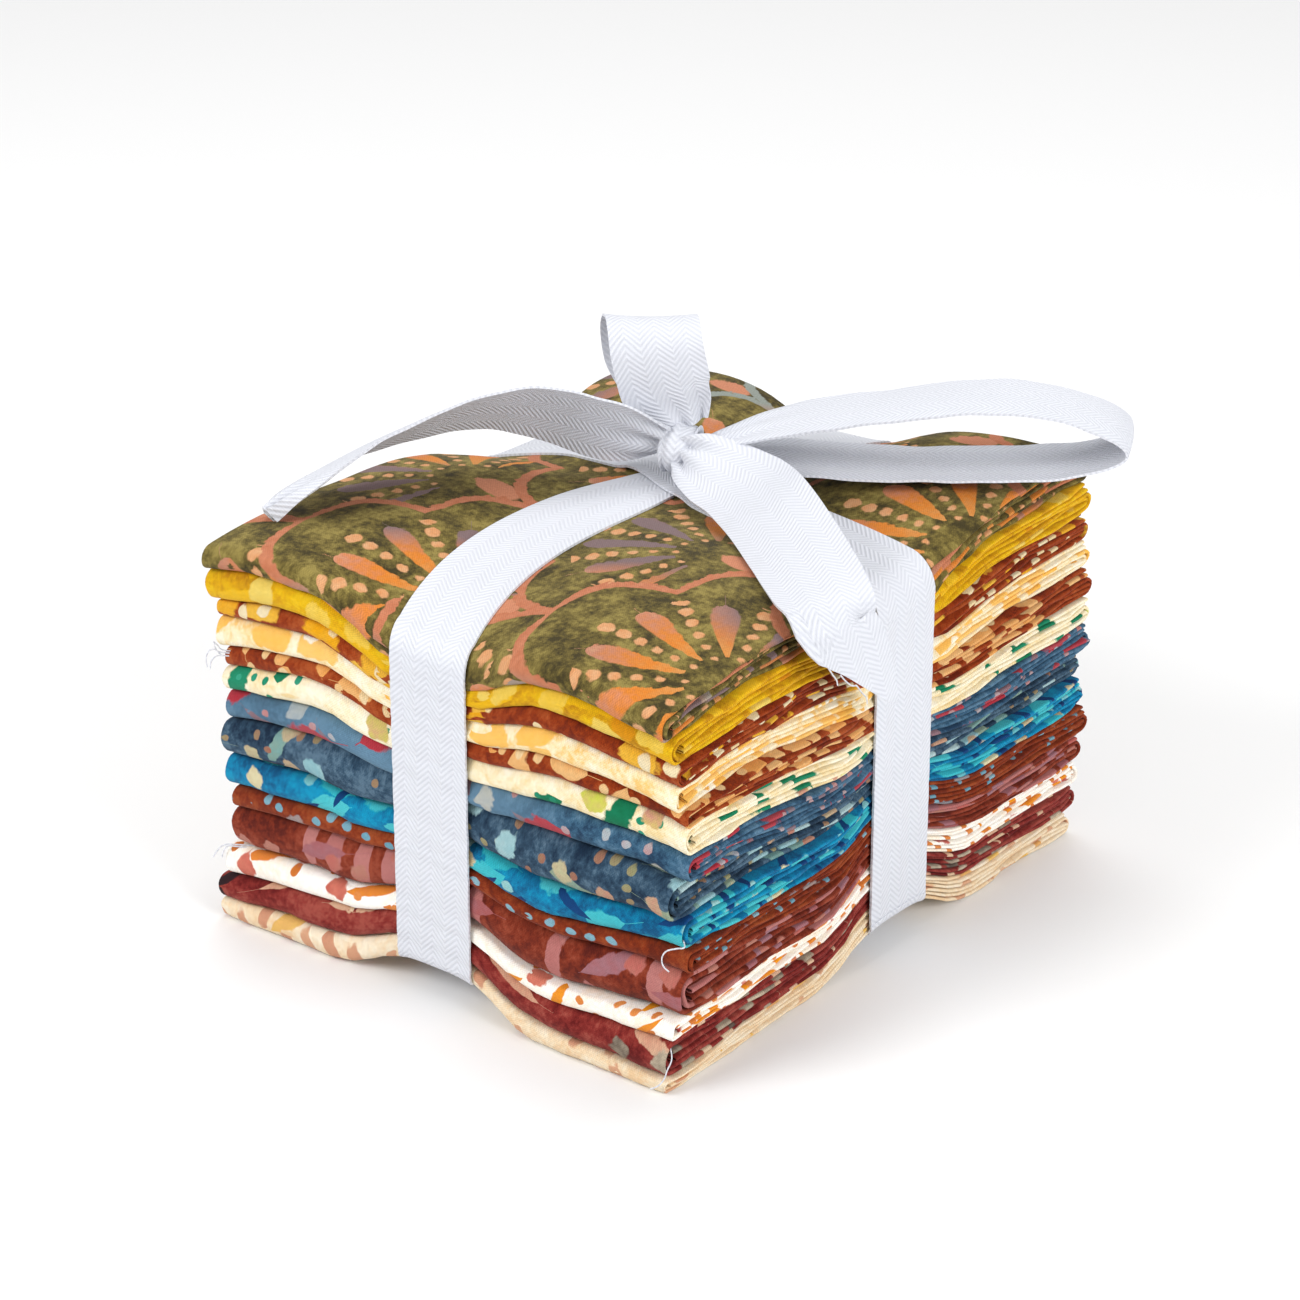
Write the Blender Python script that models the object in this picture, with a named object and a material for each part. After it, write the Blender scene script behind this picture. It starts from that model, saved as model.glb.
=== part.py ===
"""Fat quarter bundle: fourteen letter-folded cottons in a stack, tied both ways with a bowed twill tape."""

import math

import bpy
from mathutils import Vector

# Driving sizes, millimetres.
HALF_W = 68.75
HALF_D = 84.0
BOTTOM_DIP = 7.6
RIM_LIFT = 2.0
PAD_LEVEL = 0.6
CENTRE_DIP = 4.6
RIM_DIP = 6.4
RIGHT_RIM_SHARE = 0.2
CINCH = 2.2
DIP_REACH = 22.0
FOLD_REACH = 64.0
FOLD_START = -20.0
FREE_EDGE = 1.2
PIECE_GAP = 0.55
LAYER_GAP = 0.4
RING_GAP = 0.6
CROSS_GAP = 0.5
END_CLEAR = 0.3
SIDE_CLEAR = 0.9
BEND_FRONT = 2.4
BEND_BACK = 1.4
BEND_SIDE = 1.0
TAPE_WIDTH = 22.6
TAPE_THICK = 1.1
FLAT_HALF = 14.0
COLUMNS = (-HALF_W, -58.0, -42.0, -23.0, 5.0, 33.0, 54.0, HALF_W)
ROWS = (-62.0, -34.0, 57.0)
KNOT_CENTRE = (-7.0, 20.5, 107.4)
KNOT_SIZE = (17.0, 14.0, 8.0)
KNOT_TURN = 38.0
BOW_START = -2.0
BOW_DEPTH = 12.0
BOW_MIDDLE = -20.0
BOW_HALF = 64.0
CROSS_Y = 16.0
CROSS_SLOPE = -0.13
FOLD_STEPS = 4
ORIGIN = (10.47, -0.07, 0.275)
MM = 0.001

# Height of the top at each corner and the extra swell inside it.
# Columns: side along X, side along Y, corner height, swell
CORNERS = (
    (-1, -1, 100.0, 7.0),
    (1, -1, 94.5, 7.0),
    (1, 1, 105.5, 1.5),
    (-1, 1, 97.0, 4.0),
)

# One row for each folded cloth, bottom first.
# Columns: name, share of the height at the left, share near the corner, shift X, shift Y, turn, colour
CLOTHS = (
    ("cream_stripe", 0.066, 0.056, 0.6, 0.9, 0.004, (0.80, 0.66, 0.47)),
    ("red_rust", 0.096, 0.112, -0.9, 0.2, -0.006, (0.36, 0.08, 0.06)),
    ("white_leaf", 0.066, 0.056, 0.4, -0.6, 0.003, (0.86, 0.79, 0.68)),
    ("mauve_rust", 0.122, 0.130, 0.9, 0.5, 0.006, (0.28, 0.08, 0.05)),
    ("blue_dot_rust", 0.060, 0.056, -0.3, -0.2, -0.004, (0.33, 0.09, 0.04)),
    ("turquoise", 0.071, 0.088, 0.2, 0.4, 0.002, (0.02, 0.30, 0.45)),
    ("dark_slate", 0.108, 0.112, -0.6, -0.9, 0.007, (0.05, 0.10, 0.17)),
    ("slate_blue", 0.063, 0.055, 1.0, -0.4, -0.003, (0.08, 0.14, 0.22)),
    ("cream_green", 0.090, 0.063, 1.1, -0.2, 0.004, (0.82, 0.74, 0.55)),
    ("peach_rust", 0.055, 0.053, 0.0, 0.3, -0.002, (0.36, 0.09, 0.03)),
    ("pale_yellow", 0.062, 0.085, -0.7, 0.1, -0.005, (0.86, 0.68, 0.42)),
    ("gold_dot_rust", 0.054, 0.054, -0.5, -0.5, 0.003, (0.33, 0.08, 0.03)),
    ("gold", 0.057, 0.075, 0.1, -0.1, 0.002, (0.66, 0.44, 0.05)),
    ("olive_fan", 0.065, 0.065, -0.8, -0.7, -0.003, (0.16, 0.14, 0.05)),
)

# Loop 1 stands up and leans back. Columns: back, height, aside, width share
LOOP_1 = (
    (1.8, 5.05, -0.9, 0.40),
    (2.4, 9.4, -2.6, 0.70),
    (1.4, 14.0, -5.2, 0.94),
    (0.6, 19.5, -7.2, 1.0),
    (1.4, 25.0, -8.4, 1.0),
    (4.2, 29.0, -9.0, 1.0),
    (9.0, 30.4, -9.6, 1.0),
    (13.6, 28.8, -10.6, 1.0),
    (16.9, 24.4, -11.0, 1.0),
    (17.6, 18.6, -10.2, 1.0),
    (15.6, 12.8, -8.0, 0.84),
    (12.0, 8.4, -3.6, 0.62),
    (7.6, 6.0, -1.8, 0.45),
)

# Loop 2 runs out to the right. Columns: out, height, aside, width share
LOOP_2 = (
    (8.0, 2.6, 0.0, 0.40),
    (16.0, 6.6, 0.0, 0.66),
    (26.0, 9.6, 0.0, 0.86),
    (38.0, 12.2, 0.0, 1.00),
    (50.0, 14.6, 0.0, 1.00),
    (62.0, 17.0, 0.0, 1.00),
    (75.0, 18.2, 0.0, 1.00),
    (88.0, 17.4, 0.0, 1.00),
    (98.0, 15.0, 0.0, 1.00),
    (105.0, 11.6, 0.0, 1.00),
    (106.6, 8.4, 0.0, 1.00),
    (103.0, 5.6, 0.0, 1.00),
    (95.0, 3.0, 0.0, 1.00),
    (84.0, 1.2, 0.0, 1.00),
    (72.0, 0.0, 0.0, 1.00),
    (58.0, -0.8, 0.0, 1.00),
    (44.0, -1.2, 0.0, 1.00),
    (31.0, -1.2, 0.0, 0.90),
    (20.0, -0.8, 0.0, 0.70),
    (9.0, 0.5, 0.0, 0.40),
)

# The left tail. Columns: x, y, z, width direction x, y, z, width share
TAIL_1 = (
    (-12.8, 15.4, 111.1, 0.54, -0.35, 0.77, 0.36),
    (-18.5, 10.2, 113.6, 0.55, -0.36, 0.75, 0.70),
    (-24.4, 4.6, 116.0, 0.56, -0.37, 0.74, 0.90),
    (-31.1, -1.9, 118.8, 0.57, -0.38, 0.73, 1.00),
    (-37.4, -10.4, 120.8, 0.60, -0.40, 0.69, 1.00),
    (-44.2, -20.9, 120.6, 0.64, -0.42, 0.64, 1.00),
    (-50.6, -32.7, 118.2, 0.70, -0.46, 0.56, 1.00),
    (-55.8, -42.9, 115.4, 0.74, -0.49, 0.47, 1.00),
    (-61.0, -54.4, 111.8, 0.78, -0.51, 0.37, 0.95),
    (-64.6, -63.6, 108.4, 0.81, -0.53, 0.24, 0.60),
    (-66.8, -70.6, 105.8, 0.83, -0.55, 0.14, 0.12),
)

# The right tail, over the edge. Columns: x, y, z, width direction x, y, z, width share
TAIL_2 = (
    (-0.3, 15.6, 106.9, 0.50, 0.86, 0.0, 0.36),
    (9.6, 11.2, 107.4, 0.20, 0.93, 0.22, 0.80),
    (20.8, 6.9, 108.2, 0.13, 0.91, 0.40, 1.0),
    (33.2, -1.1, 108.7, 0.21, 0.86, 0.46, 1.0),
    (46.9, -10.7, 107.6, 0.18, 0.91, 0.36, 1.0),
    (60.0, -20.5, 106.4, 0.17, 0.95, 0.25, 1.0),
    (71.0, -28.8, 104.8, 0.17, 0.98, 0.13, 1.0),
    (75.2, -31.0, 100.6, 0.19, 0.98, 0.04, 1.0),
    (76.9, -29.8, 96.3, 0.20, 0.98, -0.08, 1.0),
    (77.4, -27.9, 91.4, 0.18, 0.96, -0.21, 1.0),
    (77.5, -26.2, 86.2, 0.15, 0.93, -0.32, 1.0),
)
TAIL_2_SLANT = 12.0
LOOP_1_BACK = (-0.62, 0.78)
LOOP_1_WIDE = (0.78, 0.62)
LOOP_2_OUT = (0.869, 0.495)
LOOP_2_WIDE = (-0.495, 0.869)


def tape_x(y):
    """Centre line of the tape that runs front to back."""
    bow = 1.0 - ((y - BOW_MIDDLE) / BOW_HALF) ** 2
    return BOW_START - BOW_DEPTH * max(0.0, bow)


def tape_y(x):
    """Centre line of the tape that runs side to side."""
    return CROSS_Y + CROSS_SLOPE * x


def near(distance):
    """1 under the tape, falling to 0 in the middle of a quarter of the bundle."""
    return 1.0 / (1.0 + (distance / DIP_REACH) ** 4)


def rim(x, y):
    return min(1.3, (x / HALF_W) ** 4), min(1.3, (y / HALF_D) ** 4)


def pressed(x, y):
    return 1.0 - (1.0 - near(x - tape_x(y))) * (1.0 - near(y - tape_y(x)))


def top_height(x, y):
    across = x / HALF_W
    along = y / HALF_D
    corner = 0.0
    swell = 0.0
    for side_x, side_y, height, extra in CORNERS:
        weight = (1.0 + side_x * across) * (1.0 + side_y * along) / 4.0
        corner += weight * height
        swell += weight * extra
    rim_x, rim_y = rim(x, y)
    end_dip = rim_x * RIGHT_RIM_SHARE if x > 0.0 else rim_x
    dip = CENTRE_DIP + RIM_DIP * max(end_dip, rim_y)
    return corner + swell * (1.0 - (rim_x + rim_y) / 2.0) - dip * pressed(x, y)


def bottom_height(x, y):
    rim_x, rim_y = rim(x, y)
    lift = (BOTTOM_DIP + RIM_LIFT * max(rim_x, rim_y)) * pressed(x, y) ** 1.5
    return max(0.0, lift - PAD_LEVEL)


def shares_at(x, y):
    """Share of the height below each face between cloths, bottom first."""
    blend = min(1.0, max(0.0, (FOLD_START - y) / FOLD_REACH))
    right = min(1.0, max(0.0, (x + HALF_W) / (2.0 * HALF_W)))
    rows = []
    for row in CLOTHS:
        folded = row[1] + (row[2] - row[1]) * right
        rows.append(folded)
    total = sum(rows)
    marks = [0.0]
    for folded in rows:
        even = 1.0 / len(CLOTHS)
        marks.append(marks[-1] + even + (folded / total - even) * blend)
    return marks


def level(index, x, y):
    """Height of the face below cloth number index."""
    low = bottom_height(x, y)
    return low + (top_height(x, y) - low) * shares_at(x, y)[index]


def cloth_columns(row, y):
    """X of each section of a cloth, at this y."""
    centre = tape_x(y)
    pull = near(y - tape_y(-HALF_W))
    left = -HALF_W + row[3] * (1.0 - pull) + CINCH * pull
    pull = near(y - tape_y(HALF_W))
    right = HALF_W + row[3] * (1.0 - pull) - CINCH * pull
    return [left, COLUMNS[1], COLUMNS[2], centre - FLAT_HALF, centre + FLAT_HALF, *COLUMNS[5:7], right]


def cloth_end(row, x, side):
    """Y of one end of a cloth at this x, drawn in under the tape."""
    pull = near(x - tape_x(side * HALF_D))
    return side * HALF_D + (row[4] + row[5] * x) * (1.0 - pull) - side * CINCH * pull


def cloth_rows(row, column):
    """Y of the inner sections and of the two ends of a cloth along one column."""
    centre = tape_y(COLUMNS[column])
    front = cloth_end(row, cloth_columns(row, -HALF_D)[column], -1.0)
    back = cloth_end(row, cloth_columns(row, HALF_D)[column], 1.0)
    return front, [*ROWS[0:2], centre - FLAT_HALF, centre + FLAT_HALF, ROWS[2]], back


def cloth_section(index, row, column):
    """Outer points, inner points and walking direction of the folded sheet at one column."""
    front, inner, back = cloth_rows(row, column)

    def faces(y):
        x = cloth_columns(row, y)[column]
        low = level(index, x, y) + PIECE_GAP / 2.0
        high = level(index + 1, x, y) - PIECE_GAP / 2.0
        return x, low, (high - low - 2.0 * LAYER_GAP) / 3.0

    outer = []
    inside = []
    ways = []

    def lay(y, layer, way):
        x, low, thick = faces(y)
        base = low + layer * (thick + LAYER_GAP)
        bottom = Vector((x, y, base))
        top = Vector((x, y, base + thick))
        outer.append(top if way > 0 else bottom)
        inside.append(bottom if way > 0 else top)
        ways.append(way)

    def turn(y_start, side, layers):
        """Half turn around the ends of two or three layers, down at the back and up at the front."""
        x, low, thick = faces(y_start)
        radius = (layers * thick + (layers - 1) * LAYER_GAP) / 2.0
        centre = low + radius
        for step in range(1, FOLD_STEPS):
            angle = math.pi * step / FOLD_STEPS
            out = side * math.sin(angle)
            rise = side * math.cos(angle)
            outer.append(Vector((x, y_start + radius * out, centre + radius * rise)))
            close = radius - thick
            inside.append(Vector((x, y_start + close * out, centre + close * rise)))
            ways.append(1)

    thick = faces(front)[2]
    front_start = front + (3.0 * thick + 2.0 * LAYER_GAP) / 2.0
    thick = faces(back)[2]
    back_start = back - (2.0 * thick + LAYER_GAP) / 2.0
    for y in (front_start + FREE_EDGE, *inner, back_start):
        lay(y, 1, 1)
    turn(back_start, 1, 2)
    for y in (back_start, *reversed(inner), front_start):
        lay(y, 0, -1)
    turn(front_start, -1, 3)
    for y in (front_start, *inner, back - FREE_EDGE):
        lay(y, 2, 1)
    return outer, inside, ways


def split(faces, a, b, c, d, way):
    """Two triangles for the four-cornered face a b c d, cut the same way in every layer."""
    if way > 0:
        faces.extend(((a, b, c), (a, c, d)))
    else:
        faces.extend(((a, b, d), (b, c, d)))


def finish(name, colour, rough):
    """Plain surface for a bare view of the model."""
    made = bpy.data.materials.new(name)
    made.use_nodes = True
    shader = made.node_tree.nodes["Principled BSDF"]
    shader.inputs["Base Color"].default_value = (*colour, 1.0)
    shader.inputs["Roughness"].default_value = rough
    return made


def add_mesh(name, points, faces, surface, shift):
    """One closed body in metres, with its faces turned outward and shaded smooth by angle."""
    mesh = bpy.data.meshes.new(name)
    mesh.from_pydata([(Vector(p) - shift) * MM for p in points], [], faces)
    mesh.validate()
    made = bpy.data.objects.new(name, mesh)
    BUNDLE.objects.link(made)
    mesh.materials.append(surface)
    bpy.ops.object.select_all(action="DESELECT")
    made.select_set(True)
    bpy.context.view_layer.objects.active = made
    bpy.ops.object.mode_set(mode="EDIT")
    bpy.ops.mesh.select_all(action="SELECT")
    bpy.ops.mesh.normals_make_consistent(inside=False)
    bpy.ops.object.mode_set(mode="OBJECT")
    bpy.ops.object.shade_smooth_by_angle(angle=math.radians(40.0))
    return made


def add_cloth(index, row, shift):
    """A fat quarter folded in three, as one sheet back and forth, run through eight sections."""
    points = []
    faces = []
    sections = [cloth_section(index, row, column) for column in range(len(COLUMNS))]
    size = len(sections[0][0])
    ways = sections[0][2]
    for outer, inside, _ in sections:
        points.extend(outer)
        points.extend(inside)
    for column in range(len(COLUMNS) - 1):
        here = column * 2 * size
        there = here + 2 * size
        for p in range(size - 1):
            way = -1 if ways[p] < 0 and ways[p + 1] < 0 else 1
            split(faces, here + p, here + p + 1, there + p + 1, there + p, way)
            i = here + size + p
            j = there + size + p
            split(faces, i, i + 1, j + 1, j, way)
        for p in (0, size - 1):
            split(faces, here + p, here + size + p, there + size + p, there + p, 1)
    for base in (0, (len(COLUMNS) - 1) * 2 * size):
        for p in range(size - 1):
            split(faces, base + p, base + p + 1, base + size + p + 1, base + size + p, 1)
    surface = finish(row[0], row[6], 0.9)
    return add_mesh(row[0], points, faces, surface, shift)


def ring_side(points, out):
    """The points pushed out of a closed outline by a distance, square to it at each corner."""
    moved = []
    count = len(points)
    for i in range(count):
        before = Vector(points[i]) - Vector(points[i - 1])
        after = Vector(points[(i + 1) % count]) - Vector(points[i])
        first = Vector((before[1], -before[0])).normalized()
        second = Vector((after[1], -after[0])).normalized()
        middle = (first + second).normalized()
        reach = out / max(0.5, middle.dot(first))
        moved.append((points[i][0] + middle[0] * reach, points[i][1] + middle[1] * reach))
    return moved


def add_ring(name, outline_at, place, surface, shift):
    """A closed band of tape. outline_at gives the inner outline at one edge of the tape."""
    points = []
    faces = []
    for side in (-1.0, 0.0, 1.0):
        outline = outline_at(side)
        for distance in (0.0, TAPE_THICK):
            for u, v in ring_side(outline, distance):
                points.append(place(u, v, side * TAPE_WIDTH / 2.0))
    size = len(points) // 6
    for edge in range(2):
        for p in range(size):
            q = (p + 1) % size
            base = edge * 2 * size
            for offset in (0, size):
                i = base + offset
                split(faces, i + p, i + q, i + 2 * size + q, i + 2 * size + p, 1)
    for base in (0, 4 * size):
        for p in range(size):
            q = (p + 1) % size
            split(faces, base + p, base + q, base + size + q, base + size + p, 1)
    return add_mesh(name, points, faces, surface, shift)


def corners(reach, low_front, low_back, high_front, high_back, round_front, round_back):
    """The four bends of a tape around the bundle, as four short runs of points."""
    runs = []
    for sign, high, low, radius in (
        (1.0, high_back, low_back, round_back),
        (-1.0, high_front, low_front, round_front),
    ):
        bend = []
        for angle in (30.0, 60.0, 90.0):
            out = radius * math.sin(math.radians(angle))
            drop = radius * (1.0 - math.cos(math.radians(angle)))
            bend.append((sign * (reach - radius + out), high - drop))
        foot = []
        for angle in (90.0, 60.0, 30.0):
            out = radius * math.sin(math.radians(angle))
            rise = radius * (1.0 - math.cos(math.radians(angle)))
            foot.append((sign * (reach - radius + out), low + rise))
        runs.append((bend, foot))
    return runs


def closed_outline(top, low, reach, round_front, round_back):
    runs = corners(reach, low[0][1], low[-1][1], top[0][1], top[-1][1], round_front, round_back)
    back = [*runs[0][0], *runs[0][1]]
    front = [*reversed(runs[1][1]), *reversed(runs[1][0])]
    return [(-u, z) for u, z in [*top, *back, *reversed(low), *front]]


def front_back_outline(side):
    """Inner outline of the tape that runs front to back, along its centre or one edge."""
    offset = side * TAPE_WIDTH / 2.0
    share = (offset + FLAT_HALF) / (2.0 * FLAT_HALF)
    reach = HALF_D - CINCH + RING_GAP + END_CLEAR
    pairs = [(-reach + BEND_FRONT, -reach + BEND_FRONT), (ROWS[0], ROWS[0]), (ROWS[1], ROWS[1])]
    for sign in (-1.0, 1.0):
        left_y = tape_y(COLUMNS[3]) + sign * FLAT_HALF
        pairs.append((left_y, tape_y(COLUMNS[4]) + sign * FLAT_HALF))
    pairs.extend(((ROWS[2], ROWS[2]), (reach - BEND_BACK, reach - BEND_BACK)))

    def height(index, left_y, right_y):
        left = level(index, tape_x(left_y) - FLAT_HALF, left_y)
        right = level(index, tape_x(right_y) + FLAT_HALF, right_y)
        return left + (right - left) * share

    top = []
    low = []
    for left_y, right_y in pairs:
        y = left_y + (right_y - left_y) * share
        top.append((y, height(len(CLOTHS), left_y, right_y) - PIECE_GAP / 2.0 + RING_GAP))
        low.append((y, height(0, left_y, right_y) + PIECE_GAP / 2.0 - RING_GAP))
    return closed_outline(top, low, reach, BEND_FRONT, BEND_BACK)


def side_side_outline(side):
    """Inner outline of the tape that runs side to side and crosses over the other one."""
    offset = side * TAPE_WIDTH / 2.0
    share = (offset + FLAT_HALF) / (2.0 * FLAT_HALF)
    reach = HALF_W - CINCH + RING_GAP + SIDE_CLEAR
    over = TAPE_THICK + CROSS_GAP
    last = len(COLUMNS) - 1

    def node(index, column, end, sign):
        x = COLUMNS[column]
        y = tape_y(x) + sign * FLAT_HALF
        if column in (0, last):
            x = end
        if column in (3, 4):
            x = tape_x(y) + (FLAT_HALF if column == 4 else -FLAT_HALF)
        return x, level(index, x, y)

    top = []
    low = []
    lift = (0.0, 0.1, 0.4, over, over, 0.4, 0.1, 0.0)
    for column in range(last + 1):
        end = BEND_SIDE - reach if column == 0 else reach - BEND_SIDE
        front_x, front_top = node(len(CLOTHS), column, end, -1.0)
        back_x, back_top = node(len(CLOTHS), column, end, 1.0)
        front_low = node(0, column, end, -1.0)[1]
        back_low = node(0, column, end, 1.0)[1]
        x = front_x + (back_x - front_x) * share
        high = front_top + (back_top - front_top) * share
        deep = front_low + (back_low - front_low) * share
        top.append((x, high - PIECE_GAP / 2.0 + RING_GAP + lift[column]))
        low.append((x, deep + PIECE_GAP / 2.0 - RING_GAP - lift[column]))
    return closed_outline(top, low, reach, BEND_SIDE, BEND_SIDE)


def add_strip(name, stations, surface, shift, slant=0.0):
    """An open length of tape with a slanted cut. Each station is (centre, width, width share)."""
    points = []
    faces = []
    count = len(stations)
    for i, (centre, wide, share) in enumerate(stations):
        ahead = stations[min(count - 1, i + 1)][0] - stations[max(0, i - 1)][0]
        wide = (wide - ahead * (wide.dot(ahead) / ahead.length_squared)).normalized()
        normal = ahead.cross(wide).normalized() * TAPE_THICK / 2.0
        half = wide * TAPE_WIDTH * share / 2.0
        if i == count - 1:
            half += ahead.normalized() * slant / 2.0
        points.extend((centre - half - normal, centre + half - normal))
        points.extend((centre + half + normal, centre - half + normal))
    for i in range(count - 1):
        base = 4 * i
        for p in range(4):
            q = (p + 1) % 4
            split(faces, base + p, base + q, base + 4 + q, base + 4 + p, 1)
    last = 4 * (count - 1)
    split(faces, 0, 1, 2, 3, 1)
    split(faces, last, last + 1, last + 2, last + 3, 1)
    return add_mesh(name, points, faces, surface, shift)


def smooth(rows, steps):
    """The rows with more in between, on a Catmull-Rom curve."""
    found = []
    last = len(rows) - 1
    for i in range(last):
        a, b, c, d = rows[max(0, i - 1)], rows[i], rows[i + 1], rows[min(last, i + 2)]
        for step in range(steps):
            t = step / steps
            row = []
            for w, x, y, z in zip(a, b, c, d):
                bend = (2 * w - 5 * x + 4 * y - z) * t * t + (3 * x - w - 3 * y + z) * t ** 3
                row.append(x + 0.5 * ((y - w) * t + bend))
            found.append(tuple(row))
    found.append(rows[last])
    return found


def loop_stations(table, run, wide):
    """Stations of a loop drawn in the upright plane along run, from the knot's centre."""
    stations = []
    centre = Vector(KNOT_CENTRE)
    across = Vector((*wide, 0.0))
    for out, height, aside, share in smooth(table, 2):
        place = centre + Vector((run[0] * out, run[1] * out, height)) + across * aside
        stations.append((place, across, share))
    return stations


def tail_stations(table):
    rows = smooth(table, 2)
    return [(Vector(row[0:3]), Vector(row[3:6]), row[6]) for row in rows]


def add_knot(surface, shift):
    """The pulled knot, a small rounded lump of tape over the crossing."""
    bpy.ops.object.select_all(action="DESELECT")
    centre = (Vector(KNOT_CENTRE) - shift) * MM
    bpy.ops.mesh.primitive_uv_sphere_add(segments=20, ring_count=12, radius=0.5, location=centre)
    made = bpy.context.object
    made.name = "tape_knot"
    made.data.name = "tape_knot"
    made.scale = tuple(size * MM for size in KNOT_SIZE)
    made.rotation_euler = (0.0, 0.0, math.radians(KNOT_TURN))
    bpy.ops.object.transform_apply(location=True, rotation=True, scale=True)
    bpy.ops.object.shade_smooth()
    made.data.materials.append(surface)
    for held in list(made.users_collection):
        held.objects.unlink(made)
    BUNDLE.objects.link(made)
    return made


def build():
    """Every body of the bundle, with the origin under the middle of its bounds."""
    shift = Vector(ORIGIN)
    for index, row in enumerate(CLOTHS):
        add_cloth(index, row, shift)
    tape = finish("tape_white", (0.80, 0.83, 0.90), 0.8)

    def along_y(u, v, wide):
        return Vector((tape_x(-u) + wide, -u, v))

    def along_x(u, v, wide):
        return Vector((-u, tape_y(-u) + wide, v))

    add_ring("tape_front_back", front_back_outline, along_y, tape, shift)
    add_ring("tape_side_side", side_side_outline, along_x, tape, shift)
    add_knot(tape, shift)
    add_strip("loop_upright", loop_stations(LOOP_1, LOOP_1_BACK, LOOP_1_WIDE), tape, shift)
    add_strip("loop_right", loop_stations(LOOP_2, LOOP_2_OUT, LOOP_2_WIDE), tape, shift)
    add_strip("tail_left", tail_stations(TAIL_1), tape, shift)
    add_strip("tail_right", tail_stations(TAIL_2), tape, shift, TAIL_2_SLANT)


for old in list(bpy.data.objects):
    bpy.data.objects.remove(old, do_unlink=True)
BUNDLE = bpy.data.collections.new("fat_quarter_bundle")
bpy.context.scene.collection.children.link(BUNDLE)
build()
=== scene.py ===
"""Fat quarter bundle: folded cottons, a bowed twill tape, soft studio light and a camera."""

from __future__ import annotations

import logging
import math
from dataclasses import dataclass
from enum import Enum
from typing import Sequence

import bpy
import numpy as np
from mathutils import Matrix, Vector

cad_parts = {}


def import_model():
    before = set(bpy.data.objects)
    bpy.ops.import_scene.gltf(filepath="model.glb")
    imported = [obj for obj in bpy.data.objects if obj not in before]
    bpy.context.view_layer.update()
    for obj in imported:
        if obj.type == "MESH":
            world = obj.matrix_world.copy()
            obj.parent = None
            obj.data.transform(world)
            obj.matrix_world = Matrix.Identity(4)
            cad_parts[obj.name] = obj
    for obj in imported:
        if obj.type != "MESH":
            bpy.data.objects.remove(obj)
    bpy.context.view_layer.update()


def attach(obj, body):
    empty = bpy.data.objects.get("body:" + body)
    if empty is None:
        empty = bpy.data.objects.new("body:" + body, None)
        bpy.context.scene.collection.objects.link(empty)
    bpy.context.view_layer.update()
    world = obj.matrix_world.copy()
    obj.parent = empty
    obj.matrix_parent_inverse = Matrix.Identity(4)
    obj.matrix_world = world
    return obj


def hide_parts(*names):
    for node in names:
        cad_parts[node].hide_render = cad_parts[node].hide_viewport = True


LOG = logging.getLogger("bundle")
MM = 0.001
ORIGIN = (10.47, -0.07, 0.275)
Array = np.ndarray
Socket = bpy.types.NodeSocket
Colour = tuple[float, float, float]


class Shape(Enum):
    """How a print's motifs are drawn."""

    DOT = "dot"
    LEAF = "leaf"
    STROKE = "stroke"
    BLOCK = "block"


@dataclass(frozen=True)
class Motif:
    """One layer of a print, repeated over the cloth.

    Args:
        kind: The shape.
        cell: Size of one repeat, in millimetres, along and across.
        size: Half length and half width of the shape, in millimetres.
        colours: The two colours that it runs between.
        share: Part of the repeats that carry it.
        turn: Direction of the shape, in degrees.
        swing: How far the direction varies, in degrees.
        seed: Shift of the repeat.
    """

    kind: Shape
    cell: tuple[float, float]
    size: tuple[float, float]
    colours: tuple[Colour, Colour]
    share: float = 0.8
    turn: float = 0.0
    swing: float = 180.0
    seed: float = 0.0


@dataclass(frozen=True)
class Print:
    """The dyes of a cotton and its mottling.

    Args:
        dark: Its darkest dye.
        mid: Its main dye.
        light: Its lightest dye.
        blotch: Size of the mottling, in millimetres.
        fans: Whether it carries the repeat of fans.
        tint: A paler dye towards the left fold.
        value: How light it is over all.
    """

    dark: Colour
    mid: Colour
    light: Colour
    blotch: float = 14.0
    fans: bool = False
    tint: Colour | None = None
    value: float = 0.50


@dataclass(frozen=True)
class ClothRow:
    """One folded fat quarter.

    Args:
        name: Node and piece name.
        folds: Height in millimetres of its fold at four places along the front.
        left_in: How far its left end is set in.
        right_out: How far its right end stands out.
        corner_back: How far its near corner is set back.
        fine: Extra sections for the cloth that is seen from above.
    """

    name: str
    folds: tuple[float, float, float, float]
    left_in: float
    right_out: float
    corner_back: float
    fine: float = 1.0


# Linear colours of the cottons.
OLIVE = ((0.058, 0.044, 0.013), (0.172, 0.130, 0.036), (0.35, 0.275, 0.085))
SALMON = ((0.56, 0.19, 0.10), (0.70, 0.30, 0.18))
CREAM = ((0.94, 0.72, 0.36), (0.95, 0.84, 0.60))
GOLD = ((0.58, 0.26, 0.004), (0.82, 0.44, 0.008), (0.93, 0.60, 0.06))
RUST = ((0.17, 0.022, 0.008), (0.33, 0.055, 0.019), (0.46, 0.11, 0.042))
SLATE = ((0.020, 0.055, 0.11), (0.060, 0.145, 0.240), (0.14, 0.26, 0.38))

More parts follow.
